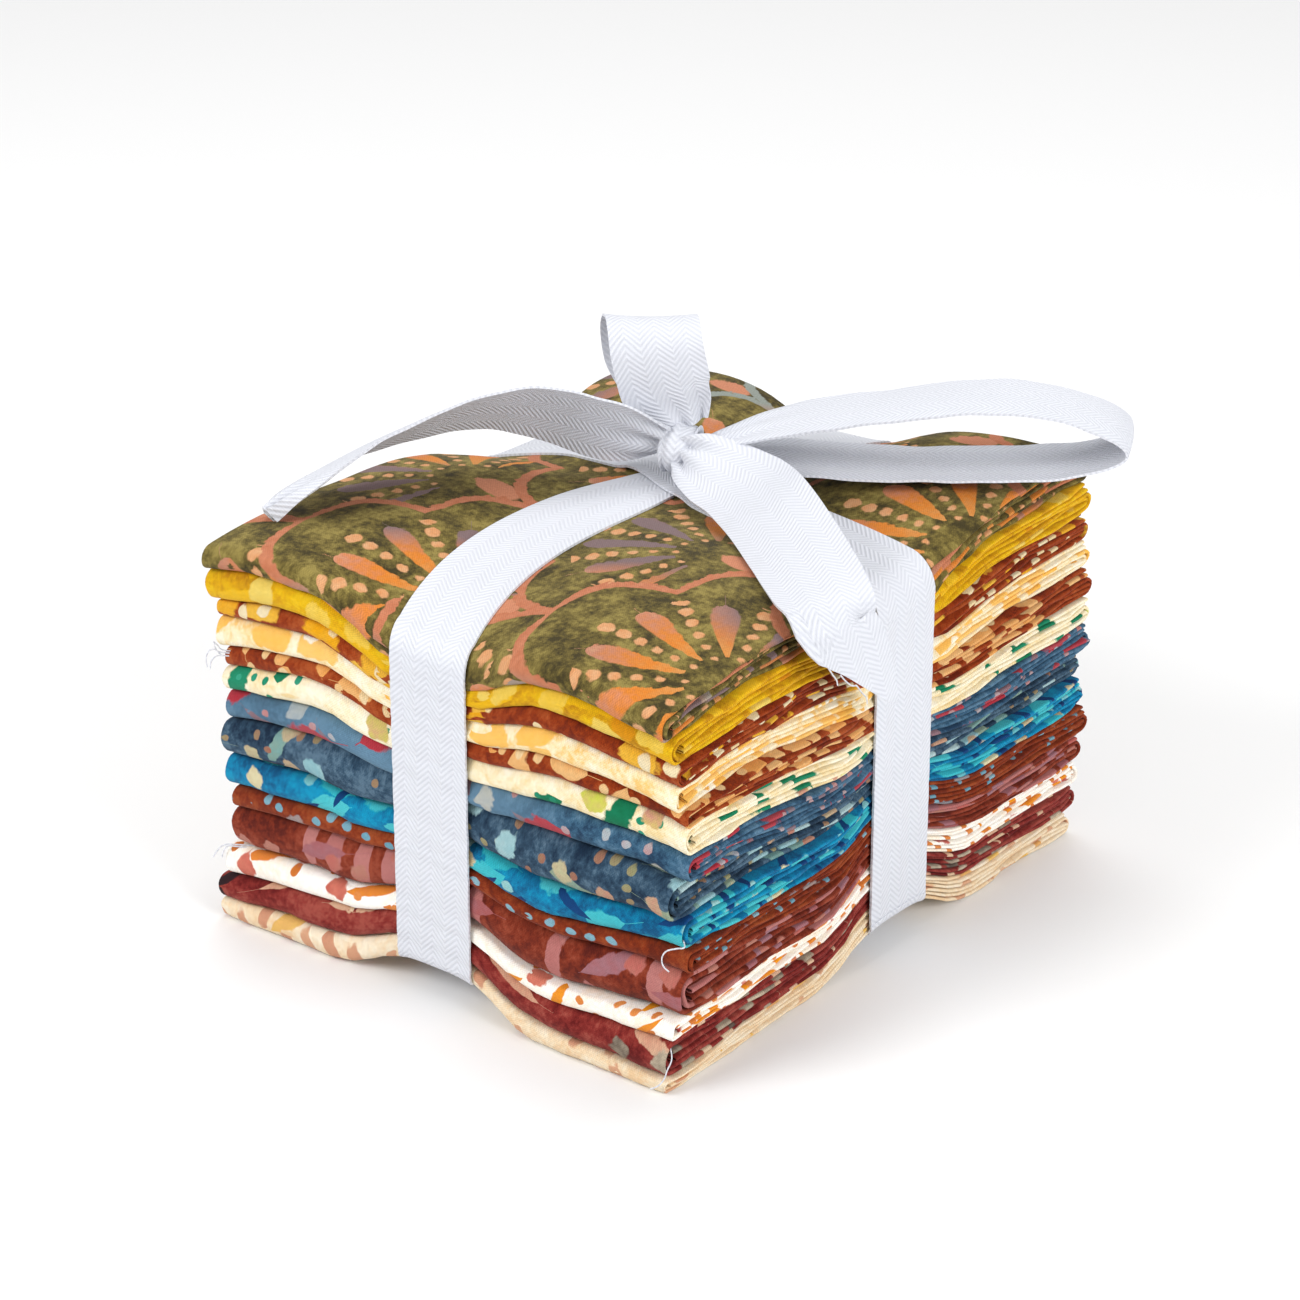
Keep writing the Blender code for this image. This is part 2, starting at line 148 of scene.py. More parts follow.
# The dyes of each print
PRINTS = {
    "olive_fan": Print(*OLIVE, fans=True, blotch=9.0),
    "gold": Print(*GOLD),
    "gold_dot_rust": Print(*RUST),
    "pale_yellow": Print((0.90, 0.58, 0.22), (0.93, 0.78, 0.50), (0.95, 0.88, 0.70), value=0.66),
    "peach_rust": Print(*RUST),
    "cream_green": Print((0.84, 0.66, 0.36), (0.90, 0.79, 0.55), (0.94, 0.87, 0.70), value=0.68),
    "slate_blue": Print(*SLATE, tint=(0.17, 0.30, 0.42)),
    "dark_slate": Print((0.008, 0.026, 0.058), (0.040, 0.085, 0.140), (0.12, 0.20, 0.28)),
    "turquoise": Print((0.0, 0.10, 0.25), (0.0, 0.215, 0.44), (0.01, 0.35, 0.60)),
    "blue_dot_rust": Print((0.15, 0.022, 0.010), (0.27, 0.045, 0.018), (0.38, 0.09, 0.036)),
    "mauve_rust": Print((0.12, 0.016, 0.010), (0.25, 0.042, 0.022), (0.37, 0.085, 0.050)),
    "white_leaf": Print((0.92, 0.82, 0.68), (0.95, 0.90, 0.82), (0.97, 0.95, 0.91), value=0.72),
    "red_rust": Print((0.15, 0.013, 0.013), (0.29, 0.042, 0.036), (0.42, 0.10, 0.078)),
    "cream_stripe": Print((0.86, 0.62, 0.38), (0.91, 0.74, 0.52), (0.95, 0.84, 0.66), value=0.64),
}

DOT, LEAF, STROKE, BLOCK = Shape

# The motifs of each print, the last one on top
# Columns: shape, cell, half size, colours, share of cells, turn, swing, seed
MOTIFS = {
    "gold": (
        (STROKE, (24.0, 5.6), (9.6, 1.7), ((0.94, 0.60, 0.08), (0.92, 0.50, 0.03)), 0.62, 4.0, 12.0, 0.0),
        (BLOCK, (14.0, 11.0), (3.6, 3.4), ((0.95, 0.74, 0.22), (0.94, 0.62, 0.10)), 0.5, 0.0, 30.0, 3.0),
        (BLOCK, (17.0, 13.0), (3.0, 2.4), ((0.74, 0.26, 0.01), (0.80, 0.34, 0.02)), 0.4, 0.0, 30.0, 8.0),
    ),
    "gold_dot_rust": (
        (BLOCK, (16.0, 9.0), (5.4, 2.8), ((0.90, 0.40, 0.03), (0.93, 0.58, 0.12)), 0.6, 10.0, 50.0, 0.0),
        (DOT, (7.0, 6.0), (1.9, 1.5), CREAM, 0.42, 0.0, 90.0, 5.0),
    ),
    "pale_yellow": (
        (STROKE, (17.0, 9.0), (6.2, 3.0), ((0.90, 0.48, 0.10), (0.92, 0.60, 0.22)), 0.55, 20.0, 50.0, 0.0),
        (DOT, (11.0, 10.0), (2.8, 2.4), ((0.97, 0.92, 0.80), (0.95, 0.84, 0.60)), 0.5, 0.0, 90.0, 2.0),
        (DOT, (11.0, 10.0), (1.4, 1.2), ((0.86, 0.44, 0.10), (0.92, 0.60, 0.26)), 0.5, 0.0, 90.0, 2.0),
    ),
    "peach_rust": (
        (LEAF, (13.0, 8.0), (5.4, 2.8), ((0.90, 0.40, 0.12), (0.92, 0.58, 0.28)), 0.62, 30.0, 90.0, 1.0),
        (DOT, (6.0, 5.6), (1.5, 1.2), ((0.93, 0.56, 0.24), (0.93, 0.74, 0.46)), 0.45, 0.0, 90.0, 4.0),
    ),
    "cream_green": (
        (LEAF, (23.0, 13.0), (11.5, 3.0), ((0.006, 0.13, 0.05), (0.02, 0.24, 0.13)), 0.66, 48.0, 26.0, 0.0),
        (DOT, (4.6, 4.4), (1.05, 0.85), ((0.01, 0.20, 0.10), (0.05, 0.34, 0.22)), 0.30, 50.0, 30.0, 7.0),
        (BLOCK, (13.0, 10.0), (3.0, 2.6), ((0.56, 0.78, 0.04), (0.62, 0.24, 0.26)), 0.42, 0.0, 90.0, 3.0),
    ),
    "slate_blue": (
        (LEAF, (22.0, 13.0), (8.0, 1.7), ((0.34, 0.15, 0.17), (0.26, 0.22, 0.26)), 0.5, 0.0, 60.0, 6.0),
        (LEAF, (25.0, 14.0), (9.5, 6.4), ((0.50, 0.04, 0.06), (0.50, 0.10, 0.12)), 0.5, 20.0, 60.0, 0.0),
        (DOT, (5.4, 5.4), (1.3, 1.0), ((0.60, 0.16, 0.14), (0.46, 0.56, 0.60)), 0.26, 0.0, 90.0, 5.0),
        (BLOCK, (12.0, 10.0), (2.6, 2.4), ((0.66, 0.62, 0.50), (0.36, 0.44, 0.50)), 0.36, 0.0, 60.0, 9.0),
    ),
    "dark_slate": (
        (LEAF, (24.0, 11.0), (9.0, 2.2), ((0.18, 0.42, 0.44), (0.36, 0.40, 0.26)), 0.45, 20.0, 50.0, 0.0),
        (DOT, (4.8, 4.6), (1.2, 0.95), ((0.40, 0.13, 0.11), (0.34, 0.34, 0.18)), 0.34, 0.0, 60.0, 2.0),
        (DOT, (12.0, 9.0), (3.6, 2.9), ((0.66, 0.78, 0.76), (0.30, 0.56, 0.62)), 0.24, 0.0, 60.0, 8.0),
        (BLOCK, (14.0, 11.0), (2.2, 2.6), ((0.62, 0.18, 0.16), (0.60, 0.58, 0.36)), 0.34, 0.0, 60.0, 4.0),
    ),
    "turquoise": (
        (LEAF, (17.0, 10.0), (7.4, 3.6), ((0.05, 0.52, 0.62), (0.12, 0.62, 0.68)), 0.5, 35.0, 50.0, 0.0),
        (LEAF, (14.0, 8.0), (6.0, 1.1), ((0.0, 0.03, 0.14), (0.0, 0.06, 0.22)), 0.6, 20.0, 70.0, 4.0),
        (DOT, (8.0, 7.0), (2.0, 1.5), ((0.50, 0.74, 0.70), (0.16, 0.55, 0.62)), 0.26, 0.0, 70.0, 9.0),
        (BLOCK, (13.0, 10.0), (2.8, 2.4), ((0.60, 0.42, 0.24), (0.86, 0.80, 0.52)), 0.36, 0.0, 60.0, 6.0),
    ),
    "blue_dot_rust": (
        (DOT, (5.6, 5.2), (1.4, 1.05), ((0.14, 0.36, 0.48), (0.32, 0.52, 0.60)), 0.62, 0.0, 30.0, 0.0),
        (BLOCK, (15.0, 10.0), (3.4, 2.6), ((0.12, 0.26, 0.36), (0.52, 0.34, 0.28)), 0.38, 0.0, 30.0, 2.0),
    ),
    "mauve_rust": (
        (STROKE, (8.6, 15.0), (2.3, 7.0), ((0.50, 0.17, 0.16), (0.58, 0.25, 0.23)), 0.5, 0.0, 9.0, 0.0),
        (LEAF, (21.0, 14.0), (8.0, 2.2), ((0.46, 0.12, 0.11), (0.40, 0.22, 0.26)), 0.4, 0.0, 40.0, 5.0),
        (BLOCK, (10.0, 8.0), (2.4, 2.2), ((0.62, 0.14, 0.13), (0.54, 0.26, 0.20)), 0.3, 0.0, 60.0, 6.0),
    ),
    "white_leaf": (
        (LEAF, (19.0, 12.0), (9.0, 1.5), ((0.86, 0.36, 0.04), (0.66, 0.22, 0.08)), 0.6, 40.0, 40.0, 0.0),
        (DOT, (5.2, 5.0), (1.35, 1.05), ((0.52, 0.15, 0.04), (0.74, 0.30, 0.11)), 0.26, 0.0, 90.0, 4.0),
        (BLOCK, (15.0, 10.0), (2.8, 2.4), ((0.34, 0.03, 0.04), (0.66, 0.24, 0.17)), 0.42, 0.0, 60.0, 9.0),
    ),
    "red_rust": (
        (LEAF, (24.0, 12.0), (10.0, 1.3), ((0.90, 0.74, 0.50), (0.70, 0.34, 0.24)), 0.55, 24.0, 50.0, 0.0),
        (LEAF, (21.0, 12.0), (5.4, 1.3), ((0.08, 0.006, 0.012), (0.014, 0.008, 0.010)), 0.5, 80.0, 40.0, 3.0),
        (BLOCK, (12.0, 9.0), (2.6, 2.4), ((0.92, 0.78, 0.58), (0.03, 0.010, 0.012)), 0.4, 0.0, 50.0, 7.0),
    ),
    "cream_stripe": (
        (STROKE, (7.4, 12.0), (1.7, 5.4), ((0.60, 0.28, 0.18), (0.74, 0.44, 0.28)), 0.5, 12.0, 22.0, 0.0),
        (LEAF, (24.0, 15.0), (9.0, 2.4), ((0.66, 0.30, 0.16), (0.90, 0.60, 0.18)), 0.4, 0.0, 40.0, 4.0),
    ),
}

# Columns: name, fold heights along the front, left in, right out, corner back
CLOTHS = (
    ClothRow("cream_stripe", (5.2, 6.4, 4.5, 3.2), -0.8, 0.4, 0.6),
    ClothRow("red_rust", (6.7, 7.8, 7.5, 10.8), -0.9, 0.6, 1.0),
    ClothRow("white_leaf", (8.3, 5.8, 4.2, 4.9), 0.6, 1.5, 2.4),
    ClothRow("mauve_rust", (10.3, 12.1, 13.6, 12.6), 2.6, 2.8, 4.4),
    ClothRow("blue_dot_rust", (5.6, 4.5, 3.6, 5.6), 2.8, 3.4, 5.4),
    ClothRow("turquoise", (8.5, 6.2, 6.8, 8.6), 1.5, 3.0, 4.8),
    ClothRow("dark_slate", (9.5, 11.4, 13.4, 10.0), 0.6, 0.8, 1.4),
    ClothRow("slate_blue", (7.9, 6.4, 6.9, 7.1), 2.2, 3.6, 5.6),
    ClothRow("cream_green", (6.3, 8.0, 6.9, 7.8), 1.8, 3.2, 5.0),
    ClothRow("peach_rust", (5.2, 3.8, 4.5, 3.8), 2.8, 3.4, 5.4),
    ClothRow("pale_yellow", (8.3, 6.2, 6.9, 6.4), 0.5, 1.6, 2.6),
    ClothRow("gold_dot_rust", (4.2, 3.8, 4.3, 4.9), 0.9, 2.0, 3.2),
    ClothRow("gold", (8.7, 5.3, 5.2, 8.0), -0.8, 1.7, 2.8),
    ClothRow("olive_fan", (6.2, 5.0, 5.4, 6.4), -1.2, 0.2, 0.2, fine=1.8),
)

# Height of the top at each corner and the swell inside it.
# Columns: side along X, side along Y, corner height, swell
CORNERS = (
    (-1, -1, 100.0, 7.0),
    (1, -1, 94.5, 7.0),
    (1, 1, 105.5, 1.5),
    (-1, 1, 97.0, 4.0),
)

# Loop 1 stands up and leans back. Columns: back, height, aside, width share
LOOP_UPRIGHT = (
    (1.8, 5.05, -0.9, 0.48),
    (1.8, 9.4, -3.2, 0.80),
    (1.0, 14.0, -5.8, 0.97),
    (0.6, 19.5, -7.2, 1.0),
    (1.4, 25.0, -8.4, 1.0),
    (4.2, 29.0, -9.0, 1.0),
    (9.0, 30.4, -9.6, 1.0),
    (13.6, 28.8, -10.6, 1.0),
    (16.9, 24.4, -11.0, 1.0),
    (17.6, 18.6, -10.2, 1.0),
    (15.6, 12.8, -8.0, 0.84),
    (12.0, 8.4, -3.6, 0.62),
    (7.6, 6.0, -1.8, 0.45),
)

# Loop 2 runs out to the right. Columns: out, height, width share
LOOP_RIGHT = (
    (4.0, 0.6, 0.42),
    (9.0, 3.4, 0.62),
    (16.0, 6.6, 0.84),
    (26.0, 9.6, 0.98),
    (38.0, 12.2, 1.0),
    (50.0, 14.6, 1.0),
    (62.0, 17.0, 1.0),
    (75.0, 18.2, 1.0),
    (88.0, 17.4, 1.0),
    (98.0, 15.0, 1.0),
    (105.0, 11.6, 1.0),
    (106.6, 8.4, 1.0),
    (103.0, 5.6, 1.0),
    (95.0, 3.0, 1.0),
    (84.0, 1.2, 1.0),
    (72.0, 0.0, 1.0),
    (58.0, -0.8, 1.0),
    (44.0, -1.2, 1.0),
    (31.0, -1.2, 1.0),
    (20.0, -1.0, 0.9),
    (11.0, -0.6, 0.66),
    (4.0, -0.8, 0.42),
)

# The left tail. Columns: x, y, z, width direction x, y, z, width share
TAIL_LEFT = (
    (-11.6, 16.4, 109.4, 0.40, -0.22, 0.88, 0.44),
    (-17.6, 10.8, 111.2, 0.42, -0.24, 0.87, 0.84),
    (-23.9, 5.0, 113.9, 0.46, -0.27, 0.84, 1.0),
    (-30.9, -1.7, 117.4, 0.50, -0.31, 0.80, 1.0),
    (-37.4, -10.4, 120.3, 0.56, -0.37, 0.74, 1.0),
    (-44.2, -20.9, 120.6, 0.64, -0.42, 0.64, 1.0),
    (-50.6, -32.7, 118.2, 0.70, -0.46, 0.56, 1.0),
    (-55.8, -42.9, 115.4, 0.74, -0.49, 0.47, 1.0),
    (-60.4, -54.0, 111.4, 0.78, -0.51, 0.37, 0.95),
    (-63.2, -62.6, 107.6, 0.81, -0.53, 0.24, 0.60),
    (-64.2, -68.6, 104.0, 0.83, -0.55, 0.14, 0.12),
)

# The right tail, over the edge. Columns: x, y, z, width direction x, y, z, width share
TAIL_RIGHT = (
    (-5.6, 15.2, 108.6, 0.10, 0.45, 0.89, 0.36),
    (-1.6, 13.4, 109.2, 0.16, 0.70, 0.70, 0.60),
    (3.6, 12.2, 108.9, 0.18, 0.86, 0.46, 0.80),
    (11.2, 10.4, 108.3, 0.16, 0.90, 0.40, 0.96),
    (20.8, 6.9, 108.4, 0.13, 0.91, 0.40, 1.0),
    (33.2, -1.1, 108.7, 0.21, 0.86, 0.46, 1.0),
    (46.9, -10.7, 107.6, 0.18, 0.91, 0.36, 1.0),
    (60.0, -20.5, 106.4, 0.17, 0.95, 0.25, 1.0),
    (71.0, -28.8, 104.8, 0.17, 0.98, 0.13, 1.0),
    (75.2, -31.0, 100.6, 0.19, 0.98, 0.04, 1.0),
    (76.9, -29.8, 96.3, 0.20, 0.98, -0.08, 1.0),
    (77.4, -27.9, 91.4, 0.18, 0.96, -0.21, 1.0),
    (77.5, -26.2, 86.2, 0.15, 0.93, -0.32, 1.0),
)

# Loose ends of white thread: three and two at the left end, two at the near corner and three at the right
# tail's cut, each from inside out. Columns: strand, x, y, z
THREADS = (
    (0, -63.5, -80.0, 72.0),
    (0, -67.6, -83.4, 72.6),
    (0, -68.9, -84.6, 73.5),
    (0, -70.1, -85.3, 72.6),
    (0, -70.6, -85.5, 70.6),
    (0, -70.4, -85.4, 68.6),
    (1, -63.5, -80.4, 71.4),
    (1, -67.6, -83.6, 71.8),
    (1, -68.7, -84.5, 71.4),
    (1, -69.6, -85.0, 70.0),
    (1, -69.9, -85.0, 68.2),
    (2, -63.5, -79.6, 72.6),
    (2, -67.2, -82.8, 73.0),
    (2, -68.4, -83.6, 74.2),
    (2, -69.1, -84.2, 75.2),
    (2, -68.7, -83.9, 73.2),
    (2, -67.6, -83.2, 71.6),
    (3, -62.5, -79.8, 20.8),
    (3, -66.6, -82.6, 21.0),
    (3, -68.3, -83.8, 21.0),
    (3, -69.6, -84.6, 20.3),
    (3, -70.5, -85.3, 18.9),
    (3, -71.3, -85.8, 17.3),
    (4, -62.5, -80.2, 20.2),
    (4, -66.9, -82.8, 20.5),
    (4, -68.3, -83.6, 20.4),
    (4, -69.1, -84.2, 19.2),
    (4, -69.6, -84.5, 17.3),
    (5, 67.6, -77.2, 38.8),
    (5, 70.4, -80.0, 38.6),
    (5, 69.0, -81.2, 38.3),
    (5, 67.2, -82.5, 37.6),
    (5, 66.4, -83.1, 35.9),
    (5, 66.6, -82.9, 33.8),
    (5, 67.6, -82.1, 32.3),
    (6, 66.6, -80.4, 12.4),
    (6, 68.9, -82.6, 10.4),
    (6, 68.4, -83.6, 7.8),
    (6, 67.6, -83.8, 5.2),
    (6, 66.3, -84.4, 3.2),
    (6, 64.7, -85.2, 2.2),
    (7, 77.4, -37.6, 94.6),
    (7, 78.1, -36.4, 92.2),
    (7, 78.5, -35.4, 90.6),
    (7, 78.6, -35.0, 89.2),
    (8, 77.4, -32.4, 90.4),
    (8, 78.1, -31.0, 88.4),
    (8, 78.5, -29.4, 87.0),
    (8, 78.8, -27.9, 86.6),
    (9, 77.4, -26.0, 85.4),
    (9, 78.1, -24.8, 83.4),
    (9, 78.5, -23.6, 81.8),
    (9, 78.6, -23.4, 80.2),
)


def smoothstep(low: float, high: float, value: Array) -> Array:
    """0 below low, 1 above high, and a smooth rise between."""
    share = np.clip((value - low) / (high - low), 0.0, 1.0)
    return share * share * (3.0 - 2.0 * share)


def ripple(value: Array, seed: float, length: float) -> Array:
    """A smooth uneven wave from -1 to 1.

    Args:
        value: Where it is read, in millimetres.
        seed: A number that tells one wave from another.
        length: Its main wavelength, in millimetres.

    Returns:
        The height of the wave at each place.
    """
    turn = 2.0 * math.pi * value / length
    first = np.sin(turn + 1.7 * seed)
    second = np.sin(2.17 * turn + 4.1 * seed + 0.6)
    third = np.sin(3.71 * turn + 2.3 * seed + 2.0)
    return (first + 0.6 * second + 0.4 * third) / 2.0


@dataclass(frozen=True)
class Stack:
    """The space that the folded cloths fill, and the lines that the tapes follow over it.

    Lengths are in millimetres.

    Args:
        half_w: Half its width, along X.
        half_d: Half its depth, along Y.
        bottom_dip: How far the tapes lift its underside.
        rim_lift: How much more they lift it at the rims.
        pad_level: How far the underside flattens on the floor.
        floor_gap: Height of the lowest cloth's middle.
        centre_dip: How far the tapes press its top.
        rim_dip: How much more they press it at the rims.
        right_rim_share: Part of that extra at the right rim.
        round_edge: Width of the rounded rim under the side tape.
        round_front: Width of the rounded rim under the front tape.
        round_depth: How far a rounded rim falls, as a part of its width.
        round_end: How near its end is to upright.
        cinch: How far a tape draws the rims in.
        dip_reach: How far to each side a tape presses the cloths.
        fold_line: Y where the front's fold heights are half gone.
        fold_fade: Distances in front of it between which they come in.
        least_share: The least height of a cloth, as a part of the stack.
        pucker: Height of the short puckers along the tapes.
        pucker_start: Distances from a tape between which they begin.
        pucker_reach: Distance in which they die away.
        roll: Height of the soft rolls.
        front_tape: Middle of the front tape at the rims, its bow to the left, and the bow's middle and half.
        side_tape: Middle of the side tape, and how much it falls towards the front for each millimetre.
        stations: X of the four measured fold heights.
    """

    half_w: float = 68.75
    half_d: float = 84.0
    bottom_dip: float = 7.6
    rim_lift: float = 2.0
    pad_level: float = 0.6
    floor_gap: float = 0.42
    centre_dip: float = 4.6
    rim_dip: float = 6.4
    right_rim_share: float = 0.2
    round_edge: float = 8.0
    round_front: float = 5.4
    round_depth: float = 0.7
    round_end: float = 0.97
    cinch: float = 2.2
    dip_reach: float = 22.0
    fold_line: float = -20.0
    fold_fade: tuple[float, float] = (-10.0, 64.0)
    least_share: float = 0.034
    pucker: float = 0.45
    pucker_start: tuple[float, float] = (11.0, 16.0)
    pucker_reach: float = 9.0
    roll: float = 0.5
    front_tape: tuple[float, float, float, float] = (-2.0, 12.0, -20.0, 64.0)
    side_tape: tuple[float, float] = (16.0, 0.13)
    stations: tuple[float, ...] = (-68.75, -34.0, 35.0, 68.75)

    def tape_x(self, y: Array) -> Array:
        """Centre line of the tape that runs front to back."""
        edge, bow, middle, half = self.front_tape
        return edge - bow * np.maximum(0.0, 1.0 - ((y - middle) / half) ** 2)

    def tape_y(self, x: Array) -> Array:
        """Centre line of the tape that runs side to side."""
        return self.side_tape[0] - self.side_tape[1] * x

    def near(self, distance: Array) -> Array:
        """1 under a tape, falling to 0 away from it."""
        return 1.0 / (1.0 + (distance / self.dip_reach) ** 4)

    def pressed(self, x: Array, y: Array) -> Array:
        """How far the two tapes press the cloths at a place."""
        return 1.0 - (1.0 - self.near(x - self.tape_x(y))) * (1.0 - self.near(y - self.tape_y(x)))

    def rims(self, x: Array, y: Array) -> tuple[Array, Array]:
        """How near a place is to the ends and to the front and back."""
        return np.minimum(1.3, (x / self.half_w) ** 4), np.minimum(1.3, (y / self.half_d) ** 4)

    def rounding(self, inside: Array, width: float) -> Array:
        """How far the top has fallen at a rounded rim.

        Args:
            inside: Distance from the drawn-in rim, negative inside it.
            width: The rounding's width.

        Returns:
            The fall at each place.
        """
        past = np.clip(inside / width + 1.0, 0.0, 1.0)
        return self.round_depth * width * (1.0 - np.sqrt(1.0 - self.round_end * past * past))

    def top(self, x: Array, y: Array) -> Array:
        """Height of the top of the stack.

        Args:
            x: X of each place.
            y: Y of each place.

        Returns:
            The height at each place.
        """
        across = x / self.half_w
        along = y / self.half_d
        corner = np.zeros_like(x)
        swell = np.zeros_like(x)
        for side_x, side_y, height, extra in CORNERS:
            weight = (1.0 + side_x * across) * (1.0 + side_y * along) / 4.0
            corner = corner + weight * height
            swell = swell + weight * extra
        rim_x, rim_y = self.rims(x, y)
        end_dip = np.where(x > 0.0, self.right_rim_share, 1.0) * rim_x
        dip = self.centre_dip + self.rim_dip * np.maximum(end_dip, rim_y)
        fall = self.rounding(x - self.half_w + self.cinch, self.round_edge) * self.near(y - self.tape_y(x))
        drop = self.rounding(self.cinch - self.half_d - y, self.round_front) * self.near(x - self.tape_x(y))
        swell = swell * (1.0 - (rim_x + rim_y) / 2.0)
        return corner + swell - dip * self.pressed(x, y) - (fall + drop)

    def bottom(self, x: Array, y: Array) -> Array:
        """Height of the underside, which the tapes lift.

        Args:
            x: X of each place.
            y: Y of each place.

        Returns:
            The height at each place.
        """
        rim_x, rim_y = self.rims(x, y)
        rise = self.bottom_dip + self.rim_lift * np.maximum(rim_x, rim_y)
        return np.maximum(self.floor_gap, rise * self.pressed(x, y) ** 1.5 - self.pad_level)

    def marks(self, x: Array, y: Array) -> Array:
        """Share of the height below each face between cloths.

        Args:
            x: X of each place.
            y: Y of each place.

        Returns:
            The shares, bottom first, with one row for each face.
        """
        folds = np.array([row.folds for row in CLOTHS])
        folds = folds / folds.sum(axis=0)
        folded = np.stack([np.interp(x, self.stations, row) for row in folds])
        even = 1.0 / len(CLOTHS)
        share = even + (folded - even) * smoothstep(*self.fold_fade, self.fold_line - y)
        share = np.maximum(share, self.least_share)
        share = share / share.sum(axis=0)
        return np.concatenate([np.zeros_like(share[:1]), np.cumsum(share, axis=0)])

    def wrinkle(self, x: Array, y: Array) -> Array:
        """Soft rolls of the upper cloths and short puckers along the tapes.

        Args:
            x: X of each place.
            y: Y of each place.

        Returns:
            The rise at each place.
        """
        out = np.zeros_like(x)
        full = sum(self.pucker_start) / 2.0 + 0.5
        for gap, run in ((np.abs(x - self.tape_x(y)), y), (np.abs(y - self.tape_y(x)), x)):
            away = np.exp(-np.maximum(0.0, gap - full) / self.pucker_reach)
            reach = smoothstep(*self.pucker_start, gap) * away
            out = out + self.pucker * reach * ripple(run + 0.25 * gap, 3.0, 15.0)
        soft = ripple(x + 0.4 * y, 1.0, 62.0) * ripple(y - 0.3 * x, 2.0, 71.0)
        return out + self.roll * soft * (1.0 - self.pressed(x, y))

    def faces(self, index: int, x: Array, y: Array) -> tuple[Array, Array]:
        """Heights of the faces below and above one cloth.

        Args:
            index: The cloth's place in the stack.
            x: X of each place.
            y: Y of each place.

        Returns:
            The lower and the upper face's height.
        """
        low = self.bottom(x, y)
        high = self.top(x, y)
        marks = self.marks(x, y)
        wrinkle = self.wrinkle(x, y)

        def height(mark: Array) -> Array:
            """Height of the face at this share."""
            return low + (high - low) * mark + wrinkle * mark**5

        return height(marks[index]), height(marks[index + 1])


